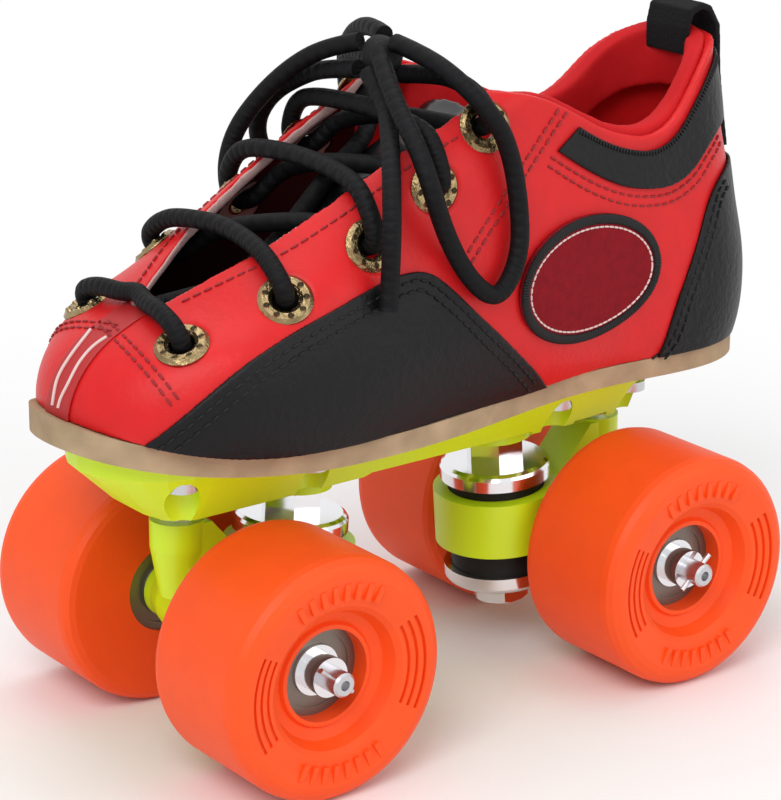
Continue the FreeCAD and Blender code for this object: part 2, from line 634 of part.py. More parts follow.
# Shoe outline by level: height, toe end, toe length, half widths at the ball,
# the instep, the waist and the heel, heel end and heel length.
levels = (
    (72.0, -93.0, 40.0, 31.0, 27.5, 22.5, 25.0, 99.2, 26.0),
    (78.0, -94.2, 40.0, 32.6, 29.0, 24.5, 25.8, 100.9, 26.0),
    (85.0, -94.4, 39.0, 34.0, 30.6, 26.6, 26.6, 102.0, 27.0),
    (92.0, -92.6, 38.0, 34.4, 31.8, 28.0, 27.0, 101.9, 27.0),
    (98.0, -88.4, 36.0, 34.0, 32.4, 28.8, 27.0, 101.2, 27.0),
    (103.0, -81.6, 33.0, 33.2, 32.4, 28.8, 26.6, 100.4, 27.0),
    (108.0, -70.5, 30.0, 32.0, 32.0, 28.4, 26.0, 99.4, 26.5),
    (113.0, -62.0, 28.0, 30.6, 31.2, 28.0, 25.4, 98.5, 26.0),
    (119.0, -52.5, 26.0, 28.0, 30.2, 27.4, 24.8, 97.6, 25.5),
    (126.0, -42.0, 25.0, 26.0, 28.8, 26.6, 24.0, 96.2, 25.0),
    (134.0, -28.5, 24.0, 25.0, 27.2, 25.6, 23.0, 94.8, 24.0),
    (142.0, -12.5, 22.0, 24.0, 26.0, 24.8, 22.0, 93.6, 24.0),
    (150.0, 2.0, 20.0, 24.0, 25.4, 24.2, 21.4, 93.0, 24.0),
    (158.0, 11.0, 19.0, 24.0, 25.0, 24.0, 21.0, 93.0, 24.0),
)
width_stations = (-35.0, 8.0, 45.0, 76.0)


def smooth(t):
    return t * t * (3 - 2 * t)


def level_at(z):
    """Interpolates the outline numbers at a height."""
    z = min(max(z, levels[0][0]), levels[-1][0])
    for low, high in zip(levels, levels[1:]):
        if z <= high[0]:
            t = (z - low[0]) / (high[0] - low[0])
            return [a + (b - a) * t for a, b in zip(low, high)]
    return list(levels[-1])


def half_width_at(level, y):
    """Half width of a level along the foot, before its ends are rounded."""
    widths = level[3:7]
    if y <= width_stations[0]:
        return widths[0]
    for k in range(3):
        if y <= width_stations[k + 1]:
            t = smooth((y - width_stations[k]) / (width_stations[k + 1] - width_stations[k]))
            return widths[k] + (widths[k + 1] - widths[k]) * t
    return widths[3]


def outline_wire(z, offset):
    """Smooth closed outline at a height, moved outwards by an offset."""
    level = level_at(z - form_rise_share * offset)
    toe, toe_length, heel, heel_length = level[1], level[2], level[7], level[8]
    right = []
    ends = (0, 14, 30, 48, 68, 90)
    for degrees in ends:
        angle = math.radians(degrees)
        y = toe + toe_length * (1 - math.cos(angle))
        x = half_width_at(level, y) * math.sin(angle) ** toe_roundness
        right.append((x, y))
    middle_count = 5
    start = toe + toe_length
    stop = heel - heel_length
    for k in range(1, middle_count):
        y = start + (stop - start) * k / middle_count
        right.append((half_width_at(level, y), y))
    for degrees in reversed(ends):
        angle = math.radians(degrees)
        y = heel - heel_length * (1 - math.cos(angle))
        x = half_width_at(level, y) * math.sin(angle) ** heel_roundness
        right.append((x, y))
    moved = []
    for k, (x, y) in enumerate(right):
        before = right[k - 1] if k > 0 else (-right[1][0], right[1][1])
        after = right[k + 1] if k + 1 < len(right) else (-right[-2][0], right[-2][1])
        tangent = V(after[0] - before[0], after[1] - before[1], 0).normalize()
        moved.append((x + tangent.y * offset, y - tangent.x * offset))
    points = [V(x, y, z) for x, y in moved]
    points += [V(-x, y, z) for x, y in reversed(moved[1:-1])]
    curve = Part.BSplineCurve()
    curve.interpolate(Points=points, PeriodicFlag=True)
    return Part.Wire(curve.toShape())


def shoe_form(offset):
    """The shoe's outer form as a solid, grown or shrunk by an offset."""
    heights = [level[0] for level in levels]
    wires = [outline_wire(z, offset) for z in heights]
    return Part.makeLoft(wires, True, False, False, 3)


def surface_x(y, z):
    """Half width of the shoe form at a place, by the same numbers as its outlines."""
    level = level_at(z)
    toe, toe_length, heel, heel_length = level[1], level[2], level[7], level[8]
    if y <= toe or y >= heel:
        return 0.0
    width = half_width_at(level, y)
    if y < toe + toe_length:
        return width * math.sin(math.acos(1 - (y - toe) / toe_length)) ** toe_roundness
    if y > heel - heel_length:
        return width * math.sin(math.acos(1 - (heel - y) / heel_length)) ** heel_roundness
    return width


def surface_normal(y, z):
    """Outward direction of the form's +X side at a place."""
    step = 0.5
    slope_y = (surface_x(y + step, z) - surface_x(y - step, z)) / (2 * step)
    slope_z = (surface_x(y, z + step) - surface_x(y, z - step)) / (2 * step)
    return V(1, -slope_y, -slope_z).normalize()


def smooth_edge(points):
    curve = Part.BSplineCurve()
    curve.interpolate(points)
    return curve.toShape()


def prism_between(low_line, high_line, half, start):
    """Extrudes the region between two smooth (y, z) lines along X."""
    low = [V(start, y, z) for y, z in low_line]
    high = [V(start, y, z) for y, z in high_line]
    edges = [smooth_edge(low), Part.makeLine(low[-1], high[-1]), smooth_edge(high), Part.makeLine(high[0], low[0])]
    return Part.Face(Part.Wire(Part.__sortEdges__(edges))).extrude(V(half - start, 0, 0))


def collar_region(low_drop, lift):
    """Solid between the collar line lowered and the collar line lifted."""
    low = [(y, z - low_drop) for y, z in collar_line]
    high = [(y, z + lift) for y, z in collar_line]
    return prism_between(low, high, cut_reach, -cut_reach)


def below_collar():
    """Everything under the collar line."""
    floor = sole_bottom - 31
    before_toe = sole_toe - 32.5
    line = [V(-cut_reach, y, z) for y, z in collar_line]
    corners = [line[-1], V(-cut_reach, line[-1].y, floor), V(-cut_reach, before_toe, floor),
               V(-cut_reach, before_toe, line[0].z), line[0]]
    edges = [smooth_edge(line)] + [Part.makeLine(a, b) for a, b in zip(corners, corners[1:])]
    return Part.Face(Part.Wire(Part.__sortEdges__(edges))).extrude(V(2 * cut_reach, 0, 0))


def throat_cut(widen=0.0):
    """Plan wedge of the throat, from the vamp up to the collar."""
    right = [(x + widen, y) for x, y in throat_plan]
    left = [(-x, y) for x, y in reversed(right)]
    return prism_z(right + left, 95, 185)


def above_tongue_edge():
    """Side view of the tongue: under its top, and no further down the sides than its drop."""
    low = [(level[1], level[0] - tongue_drop) for level in levels if level[1] > tongue_root_start]
    low.append((tongue_end, low[-1][1]))
    return prism_x(low + [(tongue_end, tongue_top), (low[0][0], tongue_top)], cut_reach)


def eyelet_frames():
    """Centre and outward direction of every eyelet, near side first."""
    frames = []
    for y, z in eyelet_places:
        x = surface_x(y, z)
        n = surface_normal(y, z)
        frames.append((V(x, y, z), n))
        frames.append((V(-x, y, z), V(-n.x, n.y, n.z)))
    return frames


def eyelet(centre, normal):
    """Domed brass eyelet set in the leather, with its barrel."""
    seat = centre - normal * eyelet_sink
    outer = eyelet_outer_diameter / 2
    hole = eyelet_hole / 2
    barrel = hole + eyelet_wall
    profile = [(hole, -upper_wall), (barrel, -upper_wall), (barrel, 0), (outer, 0), (outer, 0.35),
               (outer - 0.9, eyelet_height), (hole + 0.9, eyelet_height), (hole, eyelet_height - 0.6)]
    face = face_from([V(r, 0, a) for r, a in profile])
    solid = face.revolve(V(0, 0, 0), Z_AXIS, 360)
    solid.Placement = FreeCAD.Placement(seat, FreeCAD.Rotation(Z_AXIS, normal))
    return solid


def eyelet_seat(centre, normal):
    """What an eyelet takes out of the leather."""
    seat = centre - normal * eyelet_sink
    flange = cylinder(eyelet_outer_diameter / 2 + eyelet_clearance, 8, seat, normal)
    barrel = cylinder(eyelet_hole / 2 + eyelet_wall + eyelet_clearance, 12, seat - normal * 8, normal)
    return flange.fuse(barrel)


def round_corner(before, corner, after):
    """Arc of a cord at a corner, as large as its two runs allow."""
    first = (before - corner)
    second = (after - corner)
    shorter = min(first.Length, second.Length)
    a = V(first.x, first.y, first.z).normalize()
    b = V(second.x, second.y, second.z).normalize()
    turn = math.pi - a.getAngle(b)
    setback = 0.45 * shorter
    radius = setback / math.tan(turn / 2)
    bisector = (a + b).normalize()
    middle = corner + bisector * (radius / math.cos(turn / 2) - radius)
    return corner + a * setback, middle, corner + b * setback, radius


def cord_tube(points, diameter, name):
    """Tube along straight runs joined by tangent arcs; prints its radii and volume."""
    places = [V(*p) for p in points]
    edges = []
    radii = []
    at = places[0]
    for k in range(1, len(places) - 1):
        start, middle, stop, radius = round_corner(places[k - 1], places[k], places[k + 1])
        edges.append(Part.makeLine(at, start))
        edges.append(Part.Arc(start, middle, stop).toShape())
        radii.append(round(radius, 1))
        at = stop
    edges.append(Part.makeLine(at, places[-1]))
    path = Part.Wire(edges)
    ring = Part.Wire(Part.makeCircle(diameter / 2, places[0], places[1] - places[0]))
    shell = path.makePipeShell([ring], True, False)
    solid = shell if shell.ShapeType == "Solid" else Part.Solid(shell)
    expected = math.pi * diameter ** 2 / 4 * path.Length
    print(name, "length", round(path.Length, 1), "least radius", min(radii) if radii else "straight",
          "volume ratio", round(solid.Volume / expected, 4), "valid", solid.isValid())
    return solid


def sole_slab():
    """The sole's plan as a tall prism."""
    points = [V(x, y, 40) for x, y in sole_plan] + [V(-x, y, 40) for x, y in reversed(sole_plan) if x > 0.01]
    curve = Part.BSplineCurve()
    curve.interpolate(Points=points, PeriodicFlag=True)
    return Part.Face(Part.Wire(curve.toShape())).extrude(V(0, 0, 80))


def under_line(line, start, end):
    """Everything below a smooth (y, z) line, between two places along X."""
    floor = 50.0
    points = [V(start, y, z) for y, z in line]
    low = [V(start, points[-1].y, floor), V(start, points[0].y, floor)]
    edges = [smooth_edge(points), Part.makeLine(points[-1], low[0]), Part.makeLine(low[0], low[1]),
             Part.makeLine(low[1], points[0])]
    return Part.Face(Part.Wire(edges)).extrude(V(end - start, 0, 0))


def largest(shape):
    """The biggest solid of a result, without stray chips."""
    return max(shape.Solids, key=lambda solid: solid.Volume)


def box(x, y, z):
    """Box from three (low, high) pairs."""
    return Part.makeBox(x[1] - x[0], y[1] - y[0], z[1] - z[0], V(x[0], y[0], z[0]))


def band_region():
    """Side view of the collar band, from its lower edge to just under the collar line."""
    high = [(34.0, 138.4)] + [(y, z - band_below_edge) for y, z in collar_line if y > 36]
    return prism_between(band_low_line, high, cut_reach, -cut_reach)


def patch_oval():
    """Tall oval prism at the patch, along X."""
    oval = Part.Ellipse(V(0, 0, 0), patch_length / 2, patch_height / 2).toShape()
    face = Part.Face(Part.Wire(oval))
    face.rotate(V(0, 0, 0), V(1, 1, 1), 120)
    face.translate(V(10, patch_y, patch_z))
    return face.extrude(V(40, 0, 0))


def pull_tab():
    """Webbing strap folded over the back of the collar, as one closed loop."""
    t = pull_tab_thickness
    heights = (pull_tab_bottom, 131.0, 141.0, 152.5)
    rear = [(level_at(z)[7] + panel_thickness + 0.2, z) for z in heights]
    roll = collar_roll + upper_wall + 0.4
    top_y, top_z = rear[3]
    front = [(level_at(z)[7] - roll, z) for z in (152.5, 146.0)]
    outer = [(y + t, z) for y, z in rear] + [(top_y - 1.6, 157.6), (top_y - 4.6, 158.8)]
    outer += [(front[0][0] - 0.4, 157.4), (front[0][0] - t, 152.5), (front[1][0] - t, 146.0)]
    inner = [front[1], front[0], (front[0][0] + 1.0, 155.8), (top_y - 4.8, 157.0), (top_y - 2.6, 156.2)]
    return prism_x(outer + inner + list(reversed(rear)), pull_tab_width / 2)


def knot():
    """The bow's knot, a short roll of lace across the throat."""
    centre = V(*knot_place)
    roll = cylinder(knot_diameter / 2, knot_width, centre - V(knot_width / 2, 0, 0), X_AXIS)
    return roll.makeFillet(knot_diameter * 0.3, roll.Edges[0:1] + roll.Edges[2:3])


def shoe_pieces():
    """All pieces of the shoe as (name, shape)."""
    form = shoe_form(0)
    lining_form = shoe_form(-upper_wall)
    roll_form = shoe_form(-upper_wall - collar_roll)
    skin_form = shoe_form(panel_thickness)
    strip_form = shoe_form(strip_thickness)
    tongue_form = shoe_form(-upper_wall - tongue_gap)
    tongue_inner = shoe_form(-upper_wall - tongue_gap - tongue_thickness)
    insole_form = shoe_form(-upper_wall - insole_gap)
    below = band_between(-40, sole_thickness, cut_reach, toe_extra_thickness)
    throat = throat_cut()

    upper = form.cut(lining_form).common(below_collar()).cut(below).cut(throat)
    eyelets = []
    for centre, normal in eyelet_frames():
        upper = upper.cut(eyelet_seat(centre, normal))
        eyelets.append(eyelet(centre, normal))
    upper = largest(upper)

    skin = skin_form.cut(form).cut(below)
    panel = largest(skin.common(under_line(panel_line, panel_inner_edge, cut_reach)))
    panel_other = largest(skin.common(under_line(panel_line, -cut_reach, -panel_inner_edge)))
    counter = largest(skin.common(under_line(counter_line, -cut_reach, cut_reach)))
    band = largest(skin.common(band_region()))
    patch = largest(shoe_form(patch_thickness).cut(form).common(patch_oval()))
    strip = strip_form.cut(form).cut(below).cut(throat)
    strip = largest(strip.common(box((-strip_half_width, strip_half_width), (-110, tongue_root_end), (60, 118))))

    roll = lining_form.cut(roll_form).common(collar_region(collar_roll_drop, collar_roll_rise))
    roll = roll.cut(throat_cut(roll_throat_gap)).common(box((-cut_reach, cut_reach), (collar_roll_start, 120), (100, 170)))
    strap = pull_tab()
    roll = largest(roll.cut(strap))

    tongue_zone = throat_cut(tongue_overlap).common(above_tongue_edge())
    root_zone = box((-tongue_root_half_width, tongue_root_half_width), (tongue_root_start, tongue_root_end),
                    (tongue_root_bottom, tongue_top))
    tongue = tongue_form.cut(tongue_inner).common(tongue_zone)
    root = lining_form.cut(tongue_inner).common(root_zone).cut(throat)
    tongue = largest(tongue.fuse(root))

    insole = insole_form.common(band_between(sole_thickness, sole_thickness + insole_thickness, cut_reach,
                                             toe_extra_thickness, toe_extra_thickness))
    sole = sole_slab().common(band_between(0, sole_thickness, cut_reach, toe_extra_thickness))
    for x, y in bolt_places():
        sole = sole.cut(mounting_bolt(x, y))
    return [("upper", upper), ("eyelets", Part.makeCompound(eyelets)), ("side_panel_outer", panel),
            ("side_panel_inner", panel_other), ("heel_counter", counter), ("collar_band", band),
            ("oval_patch", patch), ("toe_strip", strip), ("collar_lining", roll), ("tongue", tongue),
            ("insole", largest(insole)), ("sole_board", largest(sole)), ("pull_tab", strap)]


def lace_pieces():
    """The lace's stretches, cut off where they enter the knot."""
    core = knot()
    routes = (("lace_through_eyelets", laced_route), ("lace_loop_near", near_loop_route),
              ("lace_end_near", near_end_route), ("lace_loop_far", far_loop_route), ("lace_end_far", far_end_route))
    pieces = [("lace_knot", core)]
    for name, route in routes:
        pieces.append((name, largest(cord_tube(route, lace_diameter, name).cut(core))))
    return pieces


def truck_pieces(turn):
    """Pieces of one truck as (name, shape), for the rear or turned for the front."""
    side = "front_" if turn else "rear_"
    centre = V(0, axle_y, wheel_radius)
    rings = []
    for start in (inner_bearing_start, outer_bearing_start):
        rings.append(tube_x(bearing_race_diameter, bearing_bore, start, start + bearing_width))
    inner_washer = tube_x(axle_washer_diameter, bearing_bore, axle_washer_start, inner_bearing_start)
    spacer = tube_x(hub_spacer_diameter, bearing_bore, inner_bearing_start + bearing_width, outer_bearing_start)
    retainer_start = outer_bearing_end + outer_washer_thickness
    outer_washer = tube_x(axle_washer_diameter, axle_tip_diameter, outer_bearing_end, retainer_start)
    washers = Part.makeCompound([inner_washer, outer_washer])
    retainer = tube_x(retainer_diameter, axle_tip_diameter, retainer_start, retainer_start + retainer_length)
    pins = [split_pin(1), split_pin(-1)]
    for pin in pins:
        pin.translate(centre)
    rod = axle()
    rod.translate(centre)
    pieces = [("kingpin", kingpin()), ("kingpin_top_nut", nut(upper_cup_top, top_nut_height, False)),
              ("kingpin_bottom_nut", nut(lower_cup_bottom, bottom_nut_height, True)),
              ("cup_washers", Part.makeCompound([cup_washer(1), cup_washer(-1)])),
              ("upper_cushion", cushion(cushion_seat + cushion_gap, upper_cup_top - cup_wall - cushion_gap)),
              ("lower_cushion", cushion(lower_cup_bottom + cup_wall + cushion_gap, -cushion_seat - cushion_gap)),
              ("pivot_cup", pivot_cup()), ("hanger", hanger()), ("pivot_pin", pivot_pin()), ("axle", rod),
              ("axle_washers", both_sides(washers, centre)),
              ("bearing_inner_rings", both_sides(Part.makeCompound(rings), centre)),
              ("hub_spacers", both_sides(spacer, centre)),
              ("axle_retainers", both_sides(retainer, centre)), ("split_pins", Part.makeCompound(pins))]
    return [(side + name, turned_for_front(shape) if turn else shape) for name, shape in pieces]


def wheel_pieces():
    """Four wheels with their bearings, named by the foot's outer (+X) and inner side."""
    tyre = wheel()
    bearings = Part.makeCompound([bearing_outer(inner_bearing_start - half_track),
                                  bearing_outer(outer_bearing_start - half_track)])
    pieces = []
    for end, sign in (("front", -1), ("rear", 1)):
        for side, mirror in (("outer", False), ("inner", True)):
            for name, shape in (("wheel", tyre), ("bearings", bearings)):
                placed = shape.mirror(V(0, 0, 0), X_AXIS) if mirror else shape.copy()
                placed.translate(V(-half_track if mirror else half_track, sign * axle_y, wheel_radius))
                pieces.append((end + "_" + side + "_" + name, placed))
    return pieces


def main():
    bolts = Part.makeCompound([mounting_bolt(x, y) for x, y in bolt_places()])
    pieces = [("plate", plate()), ("mounting_bolts", bolts)]
    pieces += shoe_pieces() + lace_pieces() + truck_pieces(False) + truck_pieces(True) + wheel_pieces()
    for name, shape in pieces:
        save(name, shape)
        print(name, shape.isValid(), len(shape.Solids), round(shape.Volume))


if __name__ == "__main__":
    main()
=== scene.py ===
import math

import bpy
import numpy
from mathutils import Matrix, Vector
from mathutils.bvhtree import BVHTree
from mathutils.kdtree import KDTree


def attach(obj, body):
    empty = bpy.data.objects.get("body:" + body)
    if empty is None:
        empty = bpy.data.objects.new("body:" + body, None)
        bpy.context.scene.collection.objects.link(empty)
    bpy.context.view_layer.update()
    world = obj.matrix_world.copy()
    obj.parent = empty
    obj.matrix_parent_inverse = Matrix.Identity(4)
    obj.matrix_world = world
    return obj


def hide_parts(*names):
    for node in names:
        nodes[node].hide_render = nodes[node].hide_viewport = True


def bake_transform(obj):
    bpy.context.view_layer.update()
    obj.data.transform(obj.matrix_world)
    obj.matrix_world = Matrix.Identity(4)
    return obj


# A child's quad roller skate. A length written with * mm is in metres. A plain one is in
# millimetres until in_row or * mm turns it into metres. Places along the foot are measured
# from the middle of the wheelbase, and in_row moves them by wheel_middle_y.
mm = 0.001
wheel_middle_y = -2.75 * mm

# Camera, fitted to the four wheels and both axles
camera_place = Vector((528.1, -403.4, 294.2)) * mm
camera_target = Vector((0.0, -1.6, 71.0)) * mm
camera_roll = math.radians(0.272)
photo_width = 781
photo_height = 800
focal_pixels = 2901.6
sensor_width = 36.0

# Stitching, and a pale cord on the toe that is a painted highlight; a stitch is drawn as (share of its
# length, share of its radius)
stitch_length = 2.1 * mm
stitch_pitch = 2.7 * mm
stitch_radius = 0.32 * mm
stitch_form = ((-0.5, 0.35), (-0.32, 1.0), (0.32, 1.0), (0.5, 0.35))
stitch_sides = 6
row_gap = 2.2 * mm
edge_inset = 2.0 * mm
highlight_cord_radius = 0.4 * mm
thread_rise = 0.35
highlight_cord_rise = 0.4
zigzag_inset = 0.6 * mm
zigzag_length = 1.3 * mm
zigzag_pitch = 1.0 * mm

# Laces; one wave is the texture scale at which a rib of the braid repeats once per unit
lace_diameter = 4.4 * mm
braid_pitch = 1.5 * mm
braid_turns = 4
braid_depth = 0.3 * mm
braid_strength = 0.65
one_wave = math.pi / 10

# Seams, and the painted highlight on the toe, that only the photograph places, as pixels in its frame
quarter_seam_pixels = ((557, 112), (528, 156), (497, 205), (463, 260))
vamp_seam_pixels = ((101, 327), (127, 352), (151, 379), (171, 405))
toe_highlight_pixels = ((91, 330), (71, 356), (58, 379), (53, 405))
quarter_row_step = (8, 3)
vamp_row_step = (8, -5)

# Side-view lines of the shoe as (distance along the foot, height) in mm
panel_line = ((-91.0, 78.0), (-84.8, 84.7), (-75.3, 93.5), (-63.6, 101.0), (-50.7, 106.1), (-36.9, 110.0),
              (-22.2, 113.4), (-15.0, 112.6), (-8.0, 107.0), (3.0, 96.5), (13.0, 87.6), (22.0, 79.0))
counter_line = ((60.0, 78.0), (63.4, 82.0), (66.7, 93.2), (73.7, 107.1), (79.4, 116.4), (85.0, 119.8))
band_low_line = ((26.5, 133.8), (33.0, 129.6), (40.0, 125.6), (48.0, 122.2), (56.0, 120.4), (64.0, 120.0),
                 (71.0, 122.2), (77.0, 126.6), (84.0, 130.4))
band_high_line = ((34.0, 138.0), (42.0, 133.8), (50.0, 130.8), (58.0, 129.6), (66.0, 131.8), (73.0, 137.8),
                  (80.0, 143.8), (87.0, 147.2))
facing_plan = ((9.6, -66.0), (17.4, -50.0), (21.0, -33.0), (23.0, -13.0), (24.4, 0.0))

# Oval patch
patch_centre = (34.7, 102.1)
patch_half_length = 23.5
patch_half_height = 15.5
patch_border = 2.4
border_pitch = 0.62 * mm
border_radius = 0.42 * mm
rim_row_inset = 0.7
rim_stitch_length = 1.5 * mm
rim_stitch_pitch = 1.6 * mm
rim_stitch_radius = 0.25 * mm

# Grain and folds of leather and padding, and edges of hard parts
grain_depth = 0.4 * mm
grain_detail = 4.0
mottle_share = 0.25
leather_crease = 22 * mm
padding_crease = 12 * mm
tongue_crease = 14 * mm
knot_crease = 4 * mm
soft_edge_angle = math.radians(40)

# The collar's front ends sink: where along the foot, over which reach, by how much and
# above which height, in mm. The drop fades in over the sink height.
collar_start = 12.0
collar_reach = 22.0
collar_drop = 4.5
collar_floor = 128.0
sink_height = 12 * mm

# Where rays towards the shoe start, beside it and above it, in mm
beside_shoe = 200
above_shoe = 250

# One lace in five stretches, with the knot between them
laced_route = (
    (3.6, -1.6, 151.6), (9.6, -0.4, 152.6), (18.0, 2.0, 153.0), (25.6, 4.0, 149.8),
    (28.4, 5.4, 143.8), (20.8, 7.0, 140.6), (0.0, -1.8, 142.0), (-18.0, -4.6, 137.4),
    (-21.8, -9.0, 129.8), (-30.8, -9.8, 131.0), (-27.2, -10.2, 140.6), (-20.8, -9.2, 143.4),
    (0.0, -8.0, 144.2), (20.8, -9.2, 143.4), (27.2, -10.2, 140.6), (30.8, -9.8, 131.0),
    (21.8, -9.0, 129.8), (17.6, -11.0, 133.4), (0.0, -18.8, 132.8), (-16.6, -21.0, 128.6),
    (-22.8, -27.2, 118.2), (-30.6, -28.4, 121.6), (-26.0, -28.8, 130.8), (-19.0, -27.8, 134.0),
    (0.0, -26.4, 135.0), (19.0, -27.8, 134.0), (26.0, -28.8, 130.8), (30.6, -28.4, 121.6),
    (22.8, -27.2, 118.2), (15.8, -30.2, 123.6), (0.0, -39.6, 121.4), (-13.8, -42.6, 117.0),
    (-23.4, -49.0, 108.0), (-28.4, -52.2, 114.0), (-21.8, -52.0, 119.4), (-14.4, -51.0, 121.4),
    (0.0, -49.6, 122.6), (14.4, -51.0, 121.4), (21.8, -52.0, 119.4), (28.4, -52.2, 114.0),
    (23.4, -49.0, 108.0), (10.8, -53.0, 111.4), (0.0, -62.4, 106.8), (-5.6, -66.0, 104.4),
    (-18.2, -72.0, 99.2), (-20.6, -75.2, 106.8), (-12.8, -74.8, 109.6), (-4.8, -73.8, 109.6),
    (0.0, -72.4, 110.8), (4.8, -73.8, 109.6), (12.8, -74.8, 109.6), (20.6, -75.2, 106.8),
    (18.2, -72.0, 99.2), (10.0, -57.2, 103.4), (4.8, -41.6, 113.2), (-1.0, -25.8, 123.0),
    (-5.6, -14.6, 128.8), (-12.4, 1.2, 134.0), (-20.8, 7.0, 140.6), (-28.4, 5.4, 143.8),
    (-25.6, 4.0, 149.8), (-18.0, 2.0, 153.0), (-9.6, -0.4, 152.6), (-3.6, -1.6, 151.6))
near_loop_route = (
    (4.4, -8.8, 157.4), (12.0, -12.2, 153.0), (21.0, -15.5, 147.8), (30.5, -17.4, 141.5),
    (36.2, -17.6, 132.6), (34.5, -13.5, 124.2), (34.2, -9.0, 115.5), (35.2, -4.2, 108.4),
    (35.6, 1.5, 104.4), (35.2, 6.4, 108.4), (34.0, 10.0, 115.5), (32.4, 10.4, 126.0),
    (31.6, 8.6, 136.5), (33.4, 2.6, 146.0), (25.5, -2.4, 154.5), (15.0, -3.8, 158.2),
    (4.6, -4.2, 159.4))
near_end_route = (
    (1.2, -9.4, 152.4), (11.2, -11.6, 147.0), (20.2, -17.6, 142.6), (28.2, -23.2, 138.2),
    (33.6, -27.0, 131.8), (36.0, -28.8, 123.6), (35.4, -28.8, 113.0), (36.2, -29.8, 107.2))
far_loop_route = (
    (-4.6, -7.4, 158.6), (-12.5, -10.9, 156.6), (-21.0, -15.0, 151.2), (-28.5, -19.5, 143.0),
    (-33.0, -24.0, 134.0), (-34.0, -26.0, 124.5), (-34.5, -23.5, 116.0), (-34.5, -18.0, 112.0),
    (-34.5, -13.0, 116.0), (-34.0, -13.5, 125.0), (-35.2, -16.5, 134.0), (-31.5, -14.2, 142.5),
    (-23.0, -9.8, 148.2), (-13.5, -9.2, 151.0), (-3.6, -8.6, 152.4))
far_end_route = (
    (-3.6, -1.2, 159.6), (-12.0, 1.2, 160.4), (-21.5, 3.8, 157.6), (-30.2, 7.0, 151.2),
    (-33.6, 9.8, 140.5), (-33.6, 12.5, 130.0), (-33.8, 15.0, 120.5))

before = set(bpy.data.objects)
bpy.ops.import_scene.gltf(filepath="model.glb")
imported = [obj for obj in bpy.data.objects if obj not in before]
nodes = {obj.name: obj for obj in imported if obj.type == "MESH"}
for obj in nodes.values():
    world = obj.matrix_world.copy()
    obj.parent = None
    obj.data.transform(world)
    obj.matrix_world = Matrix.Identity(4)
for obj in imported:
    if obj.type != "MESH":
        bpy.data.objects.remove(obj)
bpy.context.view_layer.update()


def in_row(x, y, z):
    """A place in mm from the wheelbase's middle as a point in the row frame."""
    return Vector((x * mm, y * mm + wheel_middle_y, z * mm))


# Camera
camera_place.y += wheel_middle_y
camera_target.y += wheel_middle_y
forward = (camera_target - camera_place).normalized()
level_right = forward.cross(Vector((0, 0, 1))).normalized()
level_up = level_right.cross(forward)
right = level_right * math.cos(camera_roll) + level_up * math.sin(camera_roll)
up = right.cross(forward)
camera_data = bpy.data.cameras.new("camera")
camera_data.sensor_width = sensor_width
camera_data.lens = focal_pixels * sensor_width / photo_height
camera_data.clip_start = 0.01
camera = bpy.data.objects.new("camera", camera_data)
turn = Matrix((right, up, -forward)).transposed().to_4x4()
camera.matrix_world = Matrix.Translation(camera_place) @ turn
bpy.context.collection.objects.link(camera)
bpy.context.scene.camera = camera


def material(name, colour, roughness, metallic=0.0, bump=0.0, scale=400.0, coat=0.0, mottle=0.0,
             gloss=0.5):
    """A procedural finish: a base colour that may vary, and a fine noise relief."""
    made = bpy.data.materials.new(name)
    made.use_nodes = True
    tree = made.node_tree
    shader = tree.nodes["Principled BSDF"]
    shader.inputs["Base Color"].default_value = (*colour, 1.0)
    shader.inputs["Roughness"].default_value = roughness
    shader.inputs["Metallic"].default_value = metallic
    shader.inputs["Coat Weight"].default_value = coat
    shader.inputs["Specular IOR Level"].default_value = gloss
    place = tree.nodes.new("ShaderNodeTexCoord")
    if bump > 0:
        grain = tree.nodes.new("ShaderNodeTexNoise")
        grain.inputs["Scale"].default_value = scale
        grain.inputs["Detail"].default_value = grain_detail
        tree.links.new(place.outputs["Object"], grain.inputs["Vector"])
        relief = tree.nodes.new("ShaderNodeBump")
        relief.inputs["Strength"].default_value = bump
        relief.inputs["Distance"].default_value = grain_depth
        tree.links.new(grain.outputs["Fac"], relief.inputs["Height"])
        tree.links.new(relief.outputs["Normal"], shader.inputs["Normal"])
    if mottle > 0:
        cloud = tree.nodes.new("ShaderNodeTexNoise")
        cloud.inputs["Scale"].default_value = scale * mottle_share
        tree.links.new(place.outputs["Object"], cloud.inputs["Vector"])
        mix = tree.nodes.new("ShaderNodeMix")
        mix.data_type = "RGBA"
        mix.inputs[6].default_value = (*[c * (1 - mottle) for c in colour], 1.0)
        mix.inputs[7].default_value = (*[min(1.0, c * (1 + mottle)) for c in colour], 1.0)
        tree.links.new(cloud.outputs["Fac"], mix.inputs[0])
        tree.links.new(mix.outputs[2], shader.inputs["Base Color"])
    return made


red_leather = material("red_leather", (0.64, 0.010, 0.012), 0.42,
                       bump=0.25, scale=700, mottle=0.10, gloss=0.28)
dark_red = material("dark_red_leather", (0.42, 0.010, 0.012), 0.5, bump=0.1, scale=900)
# The padded collar: the red leather with a rougher finish, its colour darkened as painted shade on the
# collar's inside
red_lining = material("red_lining", (0.53, 0.008, 0.011), 0.7,
                      bump=0.25, scale=400, mottle=0.12, gloss=0.2)
black_leather = material("black_leather", (0.006, 0.006, 0.007), 0.42,
                         bump=0.8, scale=520, gloss=0.2)
tongue_black = material("tongue_black", (0.005, 0.005, 0.006), 0.25,
                        bump=0.3, scale=300, coat=0.2, gloss=0.4)
webbing = material("webbing", (0.006, 0.006, 0.007), 0.85, bump=0.8, scale=1200, gloss=0.2)
patch_cloth = material("patch_cloth", (0.22, 0.004, 0.010), 0.85,
                       bump=0.8, scale=1500, mottle=0.25, gloss=0.2)
black_thread = material("black_thread", (0.006, 0.006, 0.007), 0.6, gloss=0.3)
red_thread = material("red_thread", (0.28, 0.006, 0.01), 0.6)
